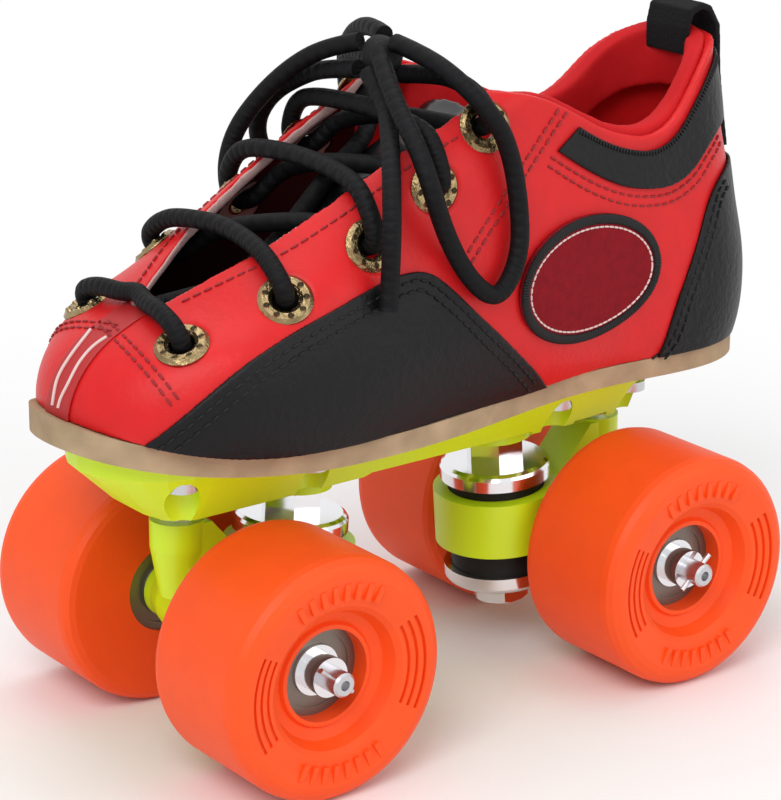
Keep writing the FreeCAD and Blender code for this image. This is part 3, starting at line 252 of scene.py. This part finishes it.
# Pale thread for the badge's rim stitches, and the toe's pale cord, which is a painted highlight
pale_thread_and_toe_highlight = material("pale_thread_and_toe_highlight", (0.74, 0.55, 0.52), 0.6)
canvas = material("raw_canvas", (0.62, 0.40, 0.38), 0.8,
                  bump=0.4, scale=1500, mottle=0.15, gloss=0.1)
sole_fibre = material("sole_fibre", (0.42, 0.30, 0.185), 0.95,
                      bump=1.0, scale=420, mottle=0.4, gloss=0.2)
insole_cloth = material("insole_cloth", (0.35, 0.04, 0.05), 0.9, bump=0.4)
brass = material("antique_brass", (0.30, 0.22, 0.11), 0.27, 1.0, bump=0.9, scale=900, mottle=0.6)
pit_dark = material("dark_bronze", (0.03, 0.022, 0.01), 0.5, 0.6)
casting = material("yellow_casting", (0.66, 0.90, 0.008), 0.42, bump=0.2, scale=300, coat=0.1)
chrome = material("chrome", (0.82, 0.82, 0.84), 0.14, 1.0)
steel = material("steel", (0.60, 0.60, 0.62), 0.32, 1.0, bump=0.1, scale=900)
race_steel = material("race_steel", (0.22, 0.20, 0.17), 0.4, 0.8, bump=0.1)
rubber = material("rubber", (0.008, 0.008, 0.008), 0.6, bump=0.3, scale=500, gloss=0.3)
plastic = material("pivot_plastic", (0.03, 0.03, 0.03), 0.5)
urethane = material("orange_urethane", (0.93, 0.085, 0.008), 0.48,
                    bump=0.15, scale=500, mottle=0.06, gloss=0.3)

finishes = {"plate": casting, "hanger": casting, "mounting_bolts": steel, "sole_board": sole_fibre,
            "insole": insole_cloth, "eyelets": brass, "kingpin": steel, "kingpin_top_nut": chrome,
            "kingpin_bottom_nut": chrome, "cup_washers": chrome, "pivot_cup": plastic,
            "pivot_pin": chrome, "axle": steel, "axle_washers": chrome, "bearing_inner_rings": chrome,
            "hub_spacers": steel, "axle_retainers": chrome, "split_pins": steel, "wheel": urethane,
            "bearings": race_steel}
soft_edges = {"plate": 0.9, "hanger": 0.8, "sole_board": 0.3, "wheel": 0.3, "kingpin_top_nut": 0.3,
              "kingpin_bottom_nut": 0.3, "cup_washers": 0.3, "eyelets": 0.12}


def plain_name(node):
    """The node's name without its end or side of the skate."""
    for part in ("front_", "rear_", "outer_", "inner_"):
        node = node.removeprefix(part)
    return node


for node, piece in nodes.items():
    key = plain_name(node)
    if key not in finishes:
        continue
    piece.data.materials.clear()
    piece.data.materials.append(finishes[key])
    if key in soft_edges:
        soften = piece.modifiers.new("soft_edge", "BEVEL")
        soften.width = soft_edges[key] * mm
        soften.segments = 2
        soften.limit_method = "ANGLE"
        soften.angle_limit = soft_edge_angle


def new_object(name, mesh, finish):
    """An object of one material, linked to the scene."""
    made = bpy.data.objects.new(name, mesh)
    made.data.materials.clear()
    made.data.materials.append(finish)
    bpy.context.collection.objects.link(made)
    return made


def solid_piece(name, points, faces, finish, body="shoe", smooth=False):
    """A piece made of closed forms given by their points and faces, riding on a body."""
    mesh = bpy.data.meshes.new(name)
    mesh.from_pydata(points, [], faces)
    if smooth:
        mesh.shade_smooth()
    piece = new_object(name, mesh, finish)
    if body:
        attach(piece, body)
    return piece


def with_modifiers(piece):
    """The piece as its modifiers leave it."""
    bpy.context.view_layer.update()
    return piece.evaluated_get(bpy.context.evaluated_depsgraph_get())


def within(share):
    """A share kept between 0 and 1."""
    return min(1.0, max(0.0, share))


def lower_front(piece, start, reach, drop, floor):
    """Sink the front of a soft piece by a drop that fades over its reach and its height."""
    mesh = bpy.data.meshes.new_from_object(with_modifiers(piece))
    piece.modifiers.clear()
    piece.data = mesh
    front = in_row(0, start, floor)
    for vertex in mesh.vertices:
        along = within(1 - (vertex.co.y - front.y) / (reach * mm))
        height = within((vertex.co.z - front.z) / sink_height)
        vertex.co.z -= drop * mm * along ** 2 * height


def dressed(node, name, finish, voxel, crease=0.0, crease_size=leather_crease, smooth=6, front=None):
    """A soft piece in place of its CAD solid: rounded edges and gentle creases."""
    source = nodes[node]
    mesh = source.data.copy()
    mesh.transform(source.matrix_world)
    piece = new_object(name, mesh, finish)
    rounded = piece.modifiers.new("rounded", "REMESH")
    rounded.mode = "VOXEL"
    rounded.voxel_size = voxel * mm
    rounded.use_smooth_shade = True
    even = piece.modifiers.new("even", "SMOOTH")
    even.iterations = smooth
    if crease > 0:
        folds = bpy.data.textures.new(name + "_folds", "CLOUDS")
        folds.noise_scale = crease_size
        folds.noise_depth = 1
        bend = piece.modifiers.new("creases", "DISPLACE")
        bend.texture = folds
        bend.texture_coords = "GLOBAL"
        bend.strength = crease * mm
        bend.mid_level = 0.5
    if front:
        lower_front(piece, *front)
    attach(piece, "shoe")
    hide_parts(node)
    return piece


def surface_of(names):
    """A searchable surface of several CAD nodes at rest."""
    points = []
    faces = []
    for name in names:
        source = nodes[name]
        start = len(points)
        points += [source.matrix_world @ v.co for v in source.data.vertices]
        faces += [[start + i for i in polygon.vertices] for polygon in source.data.polygons]
    return BVHTree.FromPolygons(points, faces)


shoe_surface = surface_of(("upper", "side_panel_outer", "side_panel_inner", "heel_counter", "collar_band",
                           "oval_patch", "toe_strip"))


def side_hit(y, z, side):
    """Point and outward direction of the shoe at a side-view place, from +X or -X."""
    start = in_row(side * beside_shoe, y, z)
    point, normal, *rest = shoe_surface.ray_cast(start, Vector((-side, 0, 0)))
    return (point, normal) if point else None


def top_hit(x, y):
    """Point and outward direction of the shoe seen from above."""
    point, normal, *rest = shoe_surface.ray_cast(in_row(x, y, above_shoe), Vector((0, 0, -1)))
    return (point, normal) if point else None


def pixel_hit(pixel):
    """Point and outward direction of the shoe behind a place in the photograph."""
    across = right * (pixel[0] - photo_width / 2)
    down = -up * (pixel[1] - photo_height / 2)
    ray = forward * focal_pixels + across + down
    point, normal, *rest = shoe_surface.ray_cast(camera_place, ray.normalized())
    return (point, normal) if point else None


def spread(hits, pitch):
    """Even places along a row of surface hits, each with its direction along the row."""
    hits = [hit for hit in hits if hit]
    placed = []
    carry = 0.0
    for (a, na), (b, nb) in zip(hits, hits[1:]):
        length = (b - a).length
        if length < 1e-6:
            continue
        at = carry
        while at < length:
            share = at / length
            placed.append((a.lerp(b, share), na.lerp(nb, share).normalized(), (b - a).normalized()))
            at += pitch
        carry = at - length
    return placed


def smooth_line(points, steps=6):
    """Points along a smooth curve through given places."""
    line = []
    for k in range(len(points) - 1):
        a = Vector(points[max(k - 1, 0)])
        b = Vector(points[k])
        c = Vector(points[k + 1])
        d = Vector(points[min(k + 2, len(points) - 1)])
        for step in range(steps):
            t = step / steps
            line.append(0.5 * (2 * b + (c - a) * t + (2 * a - 5 * b + 4 * c - d) * t * t
                               + (3 * b - a - 3 * c + d) * t ** 3))
    line.append(Vector(points[-1]))
    return line


def stitches(name, rows, finish, length=stitch_length, pitch=stitch_pitch, radius=stitch_radius,
             across=False):
    """Thread stitches lying on the leather along rows of surface hits, as one piece."""
    points = []
    faces = []
    sides = stitch_sides
    last_ring = len(stitch_form) - 1
    for row in rows:
        for place, normal, along in spread(row, pitch):
            along = (along - normal * along.dot(normal)).normalized()
            cross = normal.cross(along)
            if across:
                along, cross = cross, -along
            centre = place + normal * radius * thread_rise
            start = len(points)
            for share, size in stitch_form:
                for k in range(sides):
                    angle = 2 * math.pi * k / sides
                    spoke = (cross * math.cos(angle) + normal * math.sin(angle)) * radius * size
                    points.append(centre + along * length * share + spoke)
            for ring in range(last_ring):
                for k in range(sides):
                    a = start + ring * sides + k
                    b = start + ring * sides + (k + 1) % sides
                    faces.append((a, b, b + sides, a + sides))
            faces.append(tuple(start + k for k in reversed(range(sides))))
            faces.append(tuple(start + last_ring * sides + k for k in range(sides)))
    solid_piece(name, points, faces, finish, smooth=True)


def shifted(line, distance):
    """A side-view line moved square to itself."""
    moved = []
    for k, point in enumerate(line):
        before = line[max(k - 1, 0)]
        after = line[min(k + 1, len(line) - 1)]
        along = (after - before).normalized()
        moved.append(Vector((point.x + along.y * distance, point.y - along.x * distance)))
    return moved


def side_rows(line, offsets):
    """Rows on both sides of the shoe, along a side-view line and its parallels."""
    rows = []
    curve = smooth_line([Vector(p) for p in line])
    for offset in offsets:
        for side in (1, -1):
            rows.append([side_hit(p.x, p.y, side) for p in shifted(curve, offset / mm)])
    return rows


def lace_piece(name, node, route, finish):
    """A stretch of round lace through the same points as its CAD node."""
    curve = bpy.data.curves.new(name, "CURVE")
    curve.dimensions = "3D"
    curve.bevel_depth = lace_diameter / 2
    curve.bevel_resolution = 5
    curve.resolution_u = 8
    curve.use_fill_caps = True
    spline = curve.splines.new("NURBS")
    spline.points.add(len(route) - 1)
    for point, place in zip(spline.points, route):
        point.co = (*in_row(*place), 1.0)
    spline.order_u = 3
    spline.use_endpoint_u = True
    piece = bpy.data.objects.new(name, curve)
    curve.materials.append(finish)
    bpy.context.collection.objects.link(piece)
    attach(piece, "shoe")
    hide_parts(node)
    return piece


def route_length(route):
    """Length of the straight runs between a route's points, in metres."""
    return sum((Vector(b) - Vector(a)).length for a, b in zip(route, route[1:])) * mm


knot_black = material("knot_black", (0.006, 0.006, 0.007), 0.7, bump=0.9, scale=1400, gloss=0.25)


def braid(name, length):
    """Black braided cord: two sets of ribs that cross, counted along its length."""
    made = material(name, (0.005, 0.005, 0.006), 0.62, gloss=0.14)
    tree = made.node_tree
    place = tree.nodes.new("ShaderNodeTexCoord")
    higher = tree.nodes.new("ShaderNodeMath")
    higher.operation = "MAXIMUM"
    for socket, around in ((0, braid_turns), (1, -braid_turns)):
        stretch = tree.nodes.new("ShaderNodeMapping")
        stretch.inputs["Scale"].default_value = (length / braid_pitch, around, 0.0)
        ribs = tree.nodes.new("ShaderNodeTexWave")
        ribs.bands_direction = "DIAGONAL"
        ribs.inputs["Scale"].default_value = one_wave
        tree.links.new(place.outputs["UV"], stretch.inputs["Vector"])
        tree.links.new(stretch.outputs["Vector"], ribs.inputs["Vector"])
        tree.links.new(ribs.outputs["Fac"], higher.inputs[socket])
    relief = tree.nodes.new("ShaderNodeBump")
    relief.inputs["Strength"].default_value = braid_strength
    relief.inputs["Distance"].default_value = braid_depth
    tree.links.new(higher.outputs["Value"], relief.inputs["Height"])
    tree.links.new(relief.outputs["Normal"], tree.nodes["Principled BSDF"].inputs["Normal"])
    return made


laced_braid = braid("laced_braid", route_length(laced_route))
lace_piece("lace_laced", "lace_through_eyelets", laced_route, laced_braid)
knot = dressed("lace_knot", "bow_knot", knot_black, 0.5, crease=0.5, crease_size=knot_crease)
strands = (("lace_bow_near", "lace_loop_near", near_loop_route, "object", [knot]),
           ("lace_tip_near", "lace_end_near", near_end_route, "bare", []),
           ("lace_bow_far", "lace_loop_far", far_loop_route, "object", []),
           ("lace_tip_far", "lace_end_far", far_end_route, "bare", []))
for name, node, route, end, on_it in strands:
    strand = lace_piece(name, node, route, braid(name + "_braid", route_length(route)))

# Leather and padding
leather_upper = dressed("upper", "leather_upper", red_leather, 0.5, crease=0.5, smooth=8)
dressed("toe_strip", "toe_centre_strip", dark_red, 0.28, smooth=2)
for node, name in (("side_panel_outer", "black_panel_outer"), ("side_panel_inner", "black_panel_inner"),
                   ("heel_counter", "black_heel_counter"), ("collar_band", "black_collar_band")):
    dressed(node, name, black_leather, 0.34, crease=0.5, smooth=3)
dressed("oval_patch", "oval_badge", patch_cloth, 0.34, smooth=2)
dressed("pull_tab", "webbing_pull_tab", webbing, 0.4, smooth=3)
# The collar's darker red is painted shade
lining = dressed("collar_lining", "padded_collar", red_lining, 0.6, crease=1.1, crease_size=padding_crease,
                 smooth=18, front=(collar_start, collar_reach, collar_drop, collar_floor))
tongue = dressed("tongue", "padded_tongue", tongue_black, 0.6, crease=1.0, crease_size=tongue_crease)

# Stitching
inset_rows = (edge_inset, edge_inset + row_gap)
stitches("panel_stitching", side_rows(panel_line, inset_rows), black_thread)
stitches("counter_stitching", side_rows(counter_line, inset_rows), black_thread)
stitches("band_stitching", side_rows(band_low_line, inset_rows), red_thread)
stitches("collar_zigzag", side_rows(band_high_line, (zigzag_inset,)), black_thread, length=zigzag_length,
         pitch=zigzag_pitch, across=True)
facing_rows = []
for side in (1, -1):
    facing_curve = smooth_line([Vector((side * x, y)) for x, y in facing_plan])
    facing_rows.append([top_hit(p.x, p.y) for p in facing_curve])
stitches("facing_stitching", facing_rows, red_thread)


def pixel_row(pixels, shift=(0, 0)):
    """Surface hits along a smooth line through pixels, moved by a shift in pixels."""
    curve = smooth_line([Vector(p) for p in pixels], steps=8)
    return [pixel_hit((p.x + shift[0], p.y + shift[1])) for p in curve]


def far_side(row):
    """The same row on the other side of the foot."""
    mirrored = []
    for hit in row:
        if hit:
            point, normal = hit
            mirrored.append((Vector((-point.x, point.y, point.z)), Vector((-normal.x, normal.y, normal.z))))
    return mirrored


quarter_rows = [pixel_row(quarter_seam_pixels), pixel_row(quarter_seam_pixels, quarter_row_step)]
vamp_rows = [pixel_row(vamp_seam_pixels), pixel_row(vamp_seam_pixels, vamp_row_step)]
stitches("quarter_stitching", quarter_rows + [far_side(row) for row in quarter_rows], red_thread)
stitches("vamp_stitching", vamp_rows + [far_side(row) for row in vamp_rows], red_thread)


def highlight_cord(name, rows, finish, radius=highlight_cord_radius):
    """Thin pale cord laid flat on the leather as a painted highlight; it is held all the way."""
    curve = bpy.data.curves.new(name, "CURVE")
    curve.dimensions = "3D"
    curve.bevel_depth = radius
    curve.bevel_resolution = 2
    for row in rows:
        places = [point + normal * radius * highlight_cord_rise for point, normal in (hit for hit in row if hit)]
        if len(places) < 2:
            continue
        spline = curve.splines.new("POLY")
        spline.points.add(len(places) - 1)
        for point, place in zip(spline.points, places):
            point.co = (*place, 1.0)
    curve.materials.append(finish)
    piece = bpy.data.objects.new(name, curve)
    bpy.context.collection.objects.link(piece)
    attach(piece, "shoe")


# Painted highlight: a pale cord along the bright streak on each side of the toe
toe_highlight_row = pixel_row(toe_highlight_pixels)
highlight_cord("toe_painted_highlight", [toe_highlight_row, far_side(toe_highlight_row)], pale_thread_and_toe_highlight)


def oval_row(shrink, turn_count=96):
    """Surface hits round the patch, in from its outline by shrink in mm."""
    row = []
    for k in range(turn_count + 1):
        angle = 2 * math.pi * k / turn_count
        row.append(side_hit(patch_centre[0] + (patch_half_length - shrink) * math.cos(angle),
                            patch_centre[1] + (patch_half_height - shrink) * math.sin(angle), 1))
    return row


stitches("badge_border", [oval_row(patch_border / 2)], black_thread, length=patch_border * mm,
         pitch=border_pitch, radius=border_radius, across=True)
stitches("badge_rim", [oval_row(patch_border + rim_row_inset)], pale_thread_and_toe_highlight, length=rim_stitch_length,
         pitch=rim_stitch_pitch, radius=rim_stitch_radius)

# Pits pressed into each eyelet's flange, with a raised rim round each
pit_count = 9
pit_corners = 14
pit_ring = 4.65 * mm
pit_radius = 0.42 * mm
pit_overlap = 0.05 * mm
pit_height = 0.04 * mm
rim_radius = 0.62 * mm
rim_foot = 0.2 * mm
rim_height = 0.26 * mm
sink = 0.1 * mm
eyelet_link = 3.0 * mm


def tree_of(places):
    """A searchable tree of places."""
    tree = KDTree(len(places))
    for index, place in enumerate(places):
        tree.insert(place, index)
    tree.balance()
    return tree


def separate_groups(places, link):
    """Places gathered into groups, each place nearer than the link to another of its group."""
    tree = tree_of(places)
    groups = []
    left = set(range(len(places)))
    while left:
        front = [left.pop()]
        group = []
        while front:
            index = front.pop()
            group.append(places[index])
            for place, other, distance in tree.find_range(places[index], link):
                if other in left:
                    left.remove(other)
                    front.append(other)
        groups.append(group)
    return groups


def group_frame(group):
    """Centre, two directions in the plane and the outward axis of a round group of places."""
    cloud = numpy.array([tuple(place) for place in group])
    values, vectors = numpy.linalg.eigh(numpy.cov((cloud - cloud.mean(axis=0)).T))
    odd = 0 if values[1] - values[0] > values[2] - values[1] else 2
    axis = Vector(vectors[:, odd])
    if axis.z < 0:
        axis = -axis
    first = axis.orthogonal().normalized()
    second = axis.cross(first)
    middle = Vector((0, 0, 0))
    for direction in (first, second):
        reach = [place.dot(direction) for place in group]
        middle += direction * (min(reach) + max(reach)) / 2
    top = max(place.dot(axis) for place in group)
    return middle + axis * top, first, second, axis


def circle(first, second, count, turned=0.0):
    """Directions evenly round a circle in the plane of two others."""
    spokes = []
    for k in range(count):
        angle = 2 * math.pi * (k + turned) / count
        spokes.append(first * math.cos(angle) + second * math.sin(angle))
    return spokes


def add_ring(points, faces, loops):
    """Add a closed ring whose section has one corner on each of the loops of points."""
    start = len(points)
    size = len(loops)
    for places in zip(*loops):
        points.extend(places)
    count = len(loops[0])
    for k in range(count):
        here = start + k * size
        after = start + (k + 1) % count * size
        for i in range(size):
            j = (i + 1) % size
            faces.append((here + i, after + i, after + j, here + j))


def add_disc(points, faces, top, bottom):
    """Add a closed disc between two loops of points."""
    start = len(points)
    count = len(top)
    for pair in zip(top, bottom):
        points.extend(pair)
    for k in range(count):
        here = start + k * 2
        after = start + (k + 1) % count * 2
        faces.append((here, here + 1, after + 1, after))
    faces.append(tuple(start + 2 * k for k in range(count)))
    faces.append(tuple(start + 2 * k + 1 for k in reversed(range(count))))


def eyelet_pits():
    """Nine raised rims and dark pits on the flange of every eyelet."""
    rim_points = []
    rim_faces = []
    pit_points = []
    pit_faces = []
    places = [nodes["eyelets"].matrix_world @ v.co for v in nodes["eyelets"].data.vertices]
    for group in separate_groups(places, eyelet_link):
        top, first, second, axis = group_frame(group)
        spokes = circle(first, second, pit_corners)
        for around in circle(first, second, pit_count, turned=0.5):
            spot = top + around * pit_ring
            add_ring(rim_points, rim_faces, (
                [spot + spoke * (rim_radius + rim_foot) - axis * sink for spoke in spokes],
                [spot + spoke * rim_radius + axis * rim_height for spoke in spokes],
                [spot + spoke * pit_radius - axis * sink for spoke in spokes]))
            pit_edge = pit_radius + pit_overlap
            add_disc(pit_points, pit_faces,
                     [spot + spoke * pit_edge + axis * pit_height for spoke in spokes],
                     [spot + spoke * pit_edge - axis * sink for spoke in spokes])
    solid_piece("eyelet_pit_rims", rim_points, rim_faces, brass)
    solid_piece("eyelet_pits", pit_points, pit_faces, pit_dark)


eyelet_pits()

# Inner sides of the throat: pale canvas along the facing edges and black leather below it.
# A face counts as inner or as rim by how far it looks away from the shoe's middle line.
throat_start = -92.0
throat_end = 6.0
throat_floor = 92.0
throat_reach = 33.0 * mm
middle_drop = 6.0 * mm
inner_limit = -0.4
rim_limit = 0.45
canvas_width = 3.2 * mm
rim_cover = 1.2 * mm
skin_half = 0.25 * mm
border_passes = 8


def field_of(items, name):
    """A vector field of a mesh's vertices or faces as rows of three."""
    values = numpy.empty(len(items) * 3)
    items.foreach_get(name, values)
    return values.reshape(-1, 3)


def smooth_border(places, faces):
    """Even out the zigzag border of a patch of faces, and give its directed edges."""
    edges = {}
    for corners in faces:
        for pair in zip(corners, corners[1:] + corners[:1]):
            edges[pair] = True
    beside = {}
    for a, b in edges:
        if (b, a) not in edges:
            beside.setdefault(a, []).append(b)
            beside.setdefault(b, []).append(a)
    for step in range(border_passes):
        moved = {a: (places[a] + sum(places[b] for b in others)) / (1 + len(others))
                 for a, others in beside.items()}
        for a, place in moved.items():
            places[a] = place
    return edges


def closed_skin(name, places, directions, faces, finish):
    """A thin closed layer on both sides of a patch of faces."""
    edges = smooth_border(places, faces)
    used = {}
    points = []
    for corners in faces:
        for corner in corners:
            if corner not in used:
                used[corner] = len(points)
                points.append(tuple(places[corner] + directions[corner] * skin_half))
                points.append(tuple(places[corner] - directions[corner] * skin_half))
    layers = []
    for corners in faces:
        layers.append([used[corner] for corner in corners])
        layers.append([used[corner] + 1 for corner in reversed(corners)])
    for a, b in edges:
        if (b, a) not in edges:
            layers.append((used[b], used[a], used[a] + 1, used[b] + 1))
    solid_piece(name, points, layers, finish, smooth=True)


def throat_skins(source):
    """Thin layers on the inner faces of the upper beside the lacing."""
    evaluated = with_modifiers(source)
    mesh = evaluated.to_mesh()
    places = field_of(mesh.vertices, "co")
    directions = field_of(mesh.vertices, "normal")
    corner_of = [tuple(polygon.vertices) for polygon in mesh.polygons]
    centres = field_of(mesh.polygons, "center")
    normals = field_of(mesh.polygons, "normal")
    evaluated.to_mesh_clear()
    low = in_row(0, throat_start, throat_floor)
    high = in_row(0, throat_end, throat_floor)
    near = (centres[:, 1] > low.y) & (centres[:, 1] < high.y) & (centres[:, 2] > low.z)
    near &= numpy.abs(centres[:, 0]) < throat_reach
    outward = centres * numpy.array((1, 0, 1)) - numpy.array((0, 0, low.z - middle_drop))
    facing = (normals * outward).sum(axis=1) / numpy.maximum(numpy.linalg.norm(outward, axis=1), 1e-9)
    rims = numpy.nonzero(near & (numpy.abs(facing) < rim_limit))[0]
    inner = numpy.nonzero(near & (facing < inner_limit))[0]
    rim_tree = tree_of(centres[rims])
    inner_tree = tree_of(centres[inner])
    pale = []
    black = []
    for i in inner:
        distance = rim_tree.find(centres[i])[2]
        skin = pale if distance < canvas_width else black
        skin.append(corner_of[i])
    for i in numpy.nonzero(near & (facing >= inner_limit) & (facing < rim_limit))[0]:
        if inner_tree.find(centres[i])[2] < rim_cover:
            pale.append(corner_of[i])
    closed_skin("throat_canvas", places, directions, pale, canvas)
    closed_skin("throat_black_lining", places, directions, black, tongue_black)


throat_skins(leather_upper)

# Rubber cushions between the cup washers and the hanger's ring. Levels run along
# the kingpin in mm: bottom, top, where the cup washer's hold ends, where the ring's begins.
kingpin_lean = math.radians(4.0)
ring_place = Vector((0.0, 32.2, 35.5))
cushion_radius = 12.0
cushion_soft = 0.8
cushion_bore = 5.4
cushion_levels = {"upper_cushion": (3.4, 12.4, 9.8, 7.0), "lower_cushion": (-16.2, -3.4, -13.6, -7.0)}
cushion_steps = 14
cushion_count = 48


def cushion_piece(end, name):
    """A rubber ring between its cup washer and the truck's ring."""
    low, high, cup_edge, ring_edge = cushion_levels[name]
    sign = -1 if end == "front" else 1
    axis = Vector((0, -math.sin(kingpin_lean) * sign, math.cos(kingpin_lean)))
    centre = Vector((ring_place.x, ring_place.y * sign, ring_place.z))
    sideways = Vector((1, 0, 0))
    rise = high - low
    straight = rise - 2 * cushion_soft
    shares = [k / cushion_steps for k in range(cushion_steps + 1)]
    profile = [(cushion_radius - cushion_soft, low)]
    profile += [(cushion_radius, low + cushion_soft + straight * share) for share in shares]
    profile.append((cushion_radius - cushion_soft, high))
    profile += [(cushion_bore, high - rise * share) for share in shares]
    spokes = circle(sideways, axis.cross(sideways), cushion_count)
    loops = [[in_row(*(centre + axis * height + spoke * radius)) for spoke in spokes]
             for radius, height in profile]
    points = []
    faces = []
    add_ring(points, faces, loops)
    # These faces look inward, which does not show: the rubber is seen from both sides.
    faces = [(a, d, c, b) for a, b, c, d in faces]
    piece = solid_piece(end + "_rubber_" + name, points, faces, rubber, body=None, smooth=True)
    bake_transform(piece)
    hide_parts(end + "_" + name)


for end in ("front", "rear"):
    for name in cushion_levels:
        cushion_piece(end, name)

# Ribs on the wheels' outer faces: two groups of straight ribs, places and sizes in mm
half_wheelbase = 54.25
axle_height = 29.0
wheel_face = 51.0
rib_count = 8
rib_half_span = 29.0
rib_inner = 19.6
rib_outer = 23.6
rib_half_width = 0.7
rib_depth = 1.1 * mm
rib_section = ((rib_inner, rib_half_width), (rib_outer, rib_half_width), (rib_outer, -rib_half_width),
               (rib_inner, -rib_half_width))


def wheel_ribs(end, side, wheel_y, sign):
    """Ribs on the outward face of one wheel, mirrored on the inner wheels."""
    points = []
    faces = []
    centre = in_row(sign * wheel_face, wheel_y, axle_height)
    for middle in (0, 180):
        for k in range(rib_count):
            angle = math.radians(middle - rib_half_span + 2 * rib_half_span * k / (rib_count - 1))
            out = Vector((0, math.sin(angle), math.cos(angle)))
            around = Vector((0, math.cos(angle), -math.sin(angle)))
            start = len(points)
            for depth in (0.0, rib_depth):
                for radial, wide in rib_section:
                    foot = centre + out * radial * mm + around * wide * mm
                    points.append(foot + Vector((sign * depth, 0, 0)))
            for a, b in ((0, 1), (1, 2), (2, 3), (3, 0)):
                faces.append((start + a, start + b, start + 4 + b, start + 4 + a))
            faces.append(tuple(start + 4 + i for i in range(4)))
            faces.append(tuple(start + i for i in reversed(range(4))))
    wheel = end + "_" + side
    solid_piece(wheel + "_face_ribs", points, faces, urethane, body=wheel + "_wheel_body")


for end, wheel_y in (("front", -half_wheelbase), ("rear", half_wheelbase)):
    for side, sign in (("outer", 1), ("inner", -1)):
        wheel_ribs(end, side, wheel_y, sign)

# Floor and soft light, in metres. The floor keeps the shadow near the part and fades into
# white away from it.
floor_size = 6
fade_start = 0.12
fade_end = 0.34
world_strength = 0.6
white = (1.0, 1.0, 1.0, 1.0)
light_target = Vector((0, 0, 0.08))
# Name, place, power in watts and width in metres
lights = (("key_light", (0.5, -0.7, 0.9), 6.0, 0.6), ("fill_light", (0.9, 0.4, 0.5), 2.2, 0.8),
          ("top_light", (-0.2, 0.1, 1.1), 3.4, 0.8))

scene = bpy.context.scene
scene.view_settings.view_transform = "Standard"
bpy.ops.mesh.primitive_plane_add(size=floor_size, location=(0, 0, 0))
floor = bpy.context.object
floor.name = "floor"
floor_white = material("floor_white", (0.88, 0.88, 0.88), 0.9)
floor.data.materials.append(floor_white)


def combined(tree, operation, first, second):
    """The result of a math node on two outputs."""
    node = tree.nodes.new("ShaderNodeMath")
    node.operation = operation
    tree.links.new(first, node.inputs[0])
    tree.links.new(second, node.inputs[1])
    return node.outputs["Value"]


def seen_rays(tree):
    """1 for rays that come from the camera, a reflection or a clear piece, else 0."""
    rays = tree.nodes.new("ShaderNodeLightPath").outputs
    mirrored = combined(tree, "MAXIMUM", rays["Is Camera Ray"], rays["Is Glossy Ray"])
    return combined(tree, "MAXIMUM", mirrored, rays["Is Transmission Ray"])


tree = floor_white.node_tree
floor_place = tree.nodes.new("ShaderNodeTexCoord")
distance = tree.nodes.new("ShaderNodeVectorMath")
distance.operation = "LENGTH"
tree.links.new(floor_place.outputs["Object"], distance.inputs[0])
fade = tree.nodes.new("ShaderNodeMapRange")
fade.interpolation_type = "SMOOTHSTEP"
fade.inputs["From Min"].default_value = fade_start
fade.inputs["From Max"].default_value = fade_end
tree.links.new(distance.outputs["Value"], fade.inputs["Value"])
glow = tree.nodes.new("ShaderNodeEmission")
glow.inputs["Color"].default_value = white
glow.inputs["Strength"].default_value = 1.0
mix = tree.nodes.new("ShaderNodeMixShader")
tree.links.new(combined(tree, "MULTIPLY", fade.outputs["Result"], seen_rays(tree)), mix.inputs[0])
tree.links.new(tree.nodes["Principled BSDF"].outputs["BSDF"], mix.inputs[1])
tree.links.new(glow.outputs["Emission"], mix.inputs[2])
tree.links.new(mix.outputs["Shader"], tree.nodes["Material Output"].inputs["Surface"])

world = bpy.data.worlds.new("studio")
world.use_nodes = True
tree = world.node_tree
sky = tree.nodes["Background"]
sky.inputs["Color"].default_value = white
sky_strength = tree.nodes.new("ShaderNodeMapRange")
sky_strength.inputs["To Min"].default_value = world_strength
sky_strength.inputs["To Max"].default_value = 1.0
tree.links.new(seen_rays(tree), sky_strength.inputs["Value"])
tree.links.new(sky_strength.outputs["Result"], sky.inputs["Strength"])
scene.world = world

for name, place, power, size in lights:
    lamp = bpy.data.lights.new(name, "AREA")
    lamp.energy = power
    lamp.size = size
    holder = bpy.data.objects.new(name, lamp)
    holder.location = place
    aim = light_target - holder.location
    holder.rotation_euler = aim.to_track_quat("-Z", "Y").to_euler()
    bpy.context.collection.objects.link(holder)
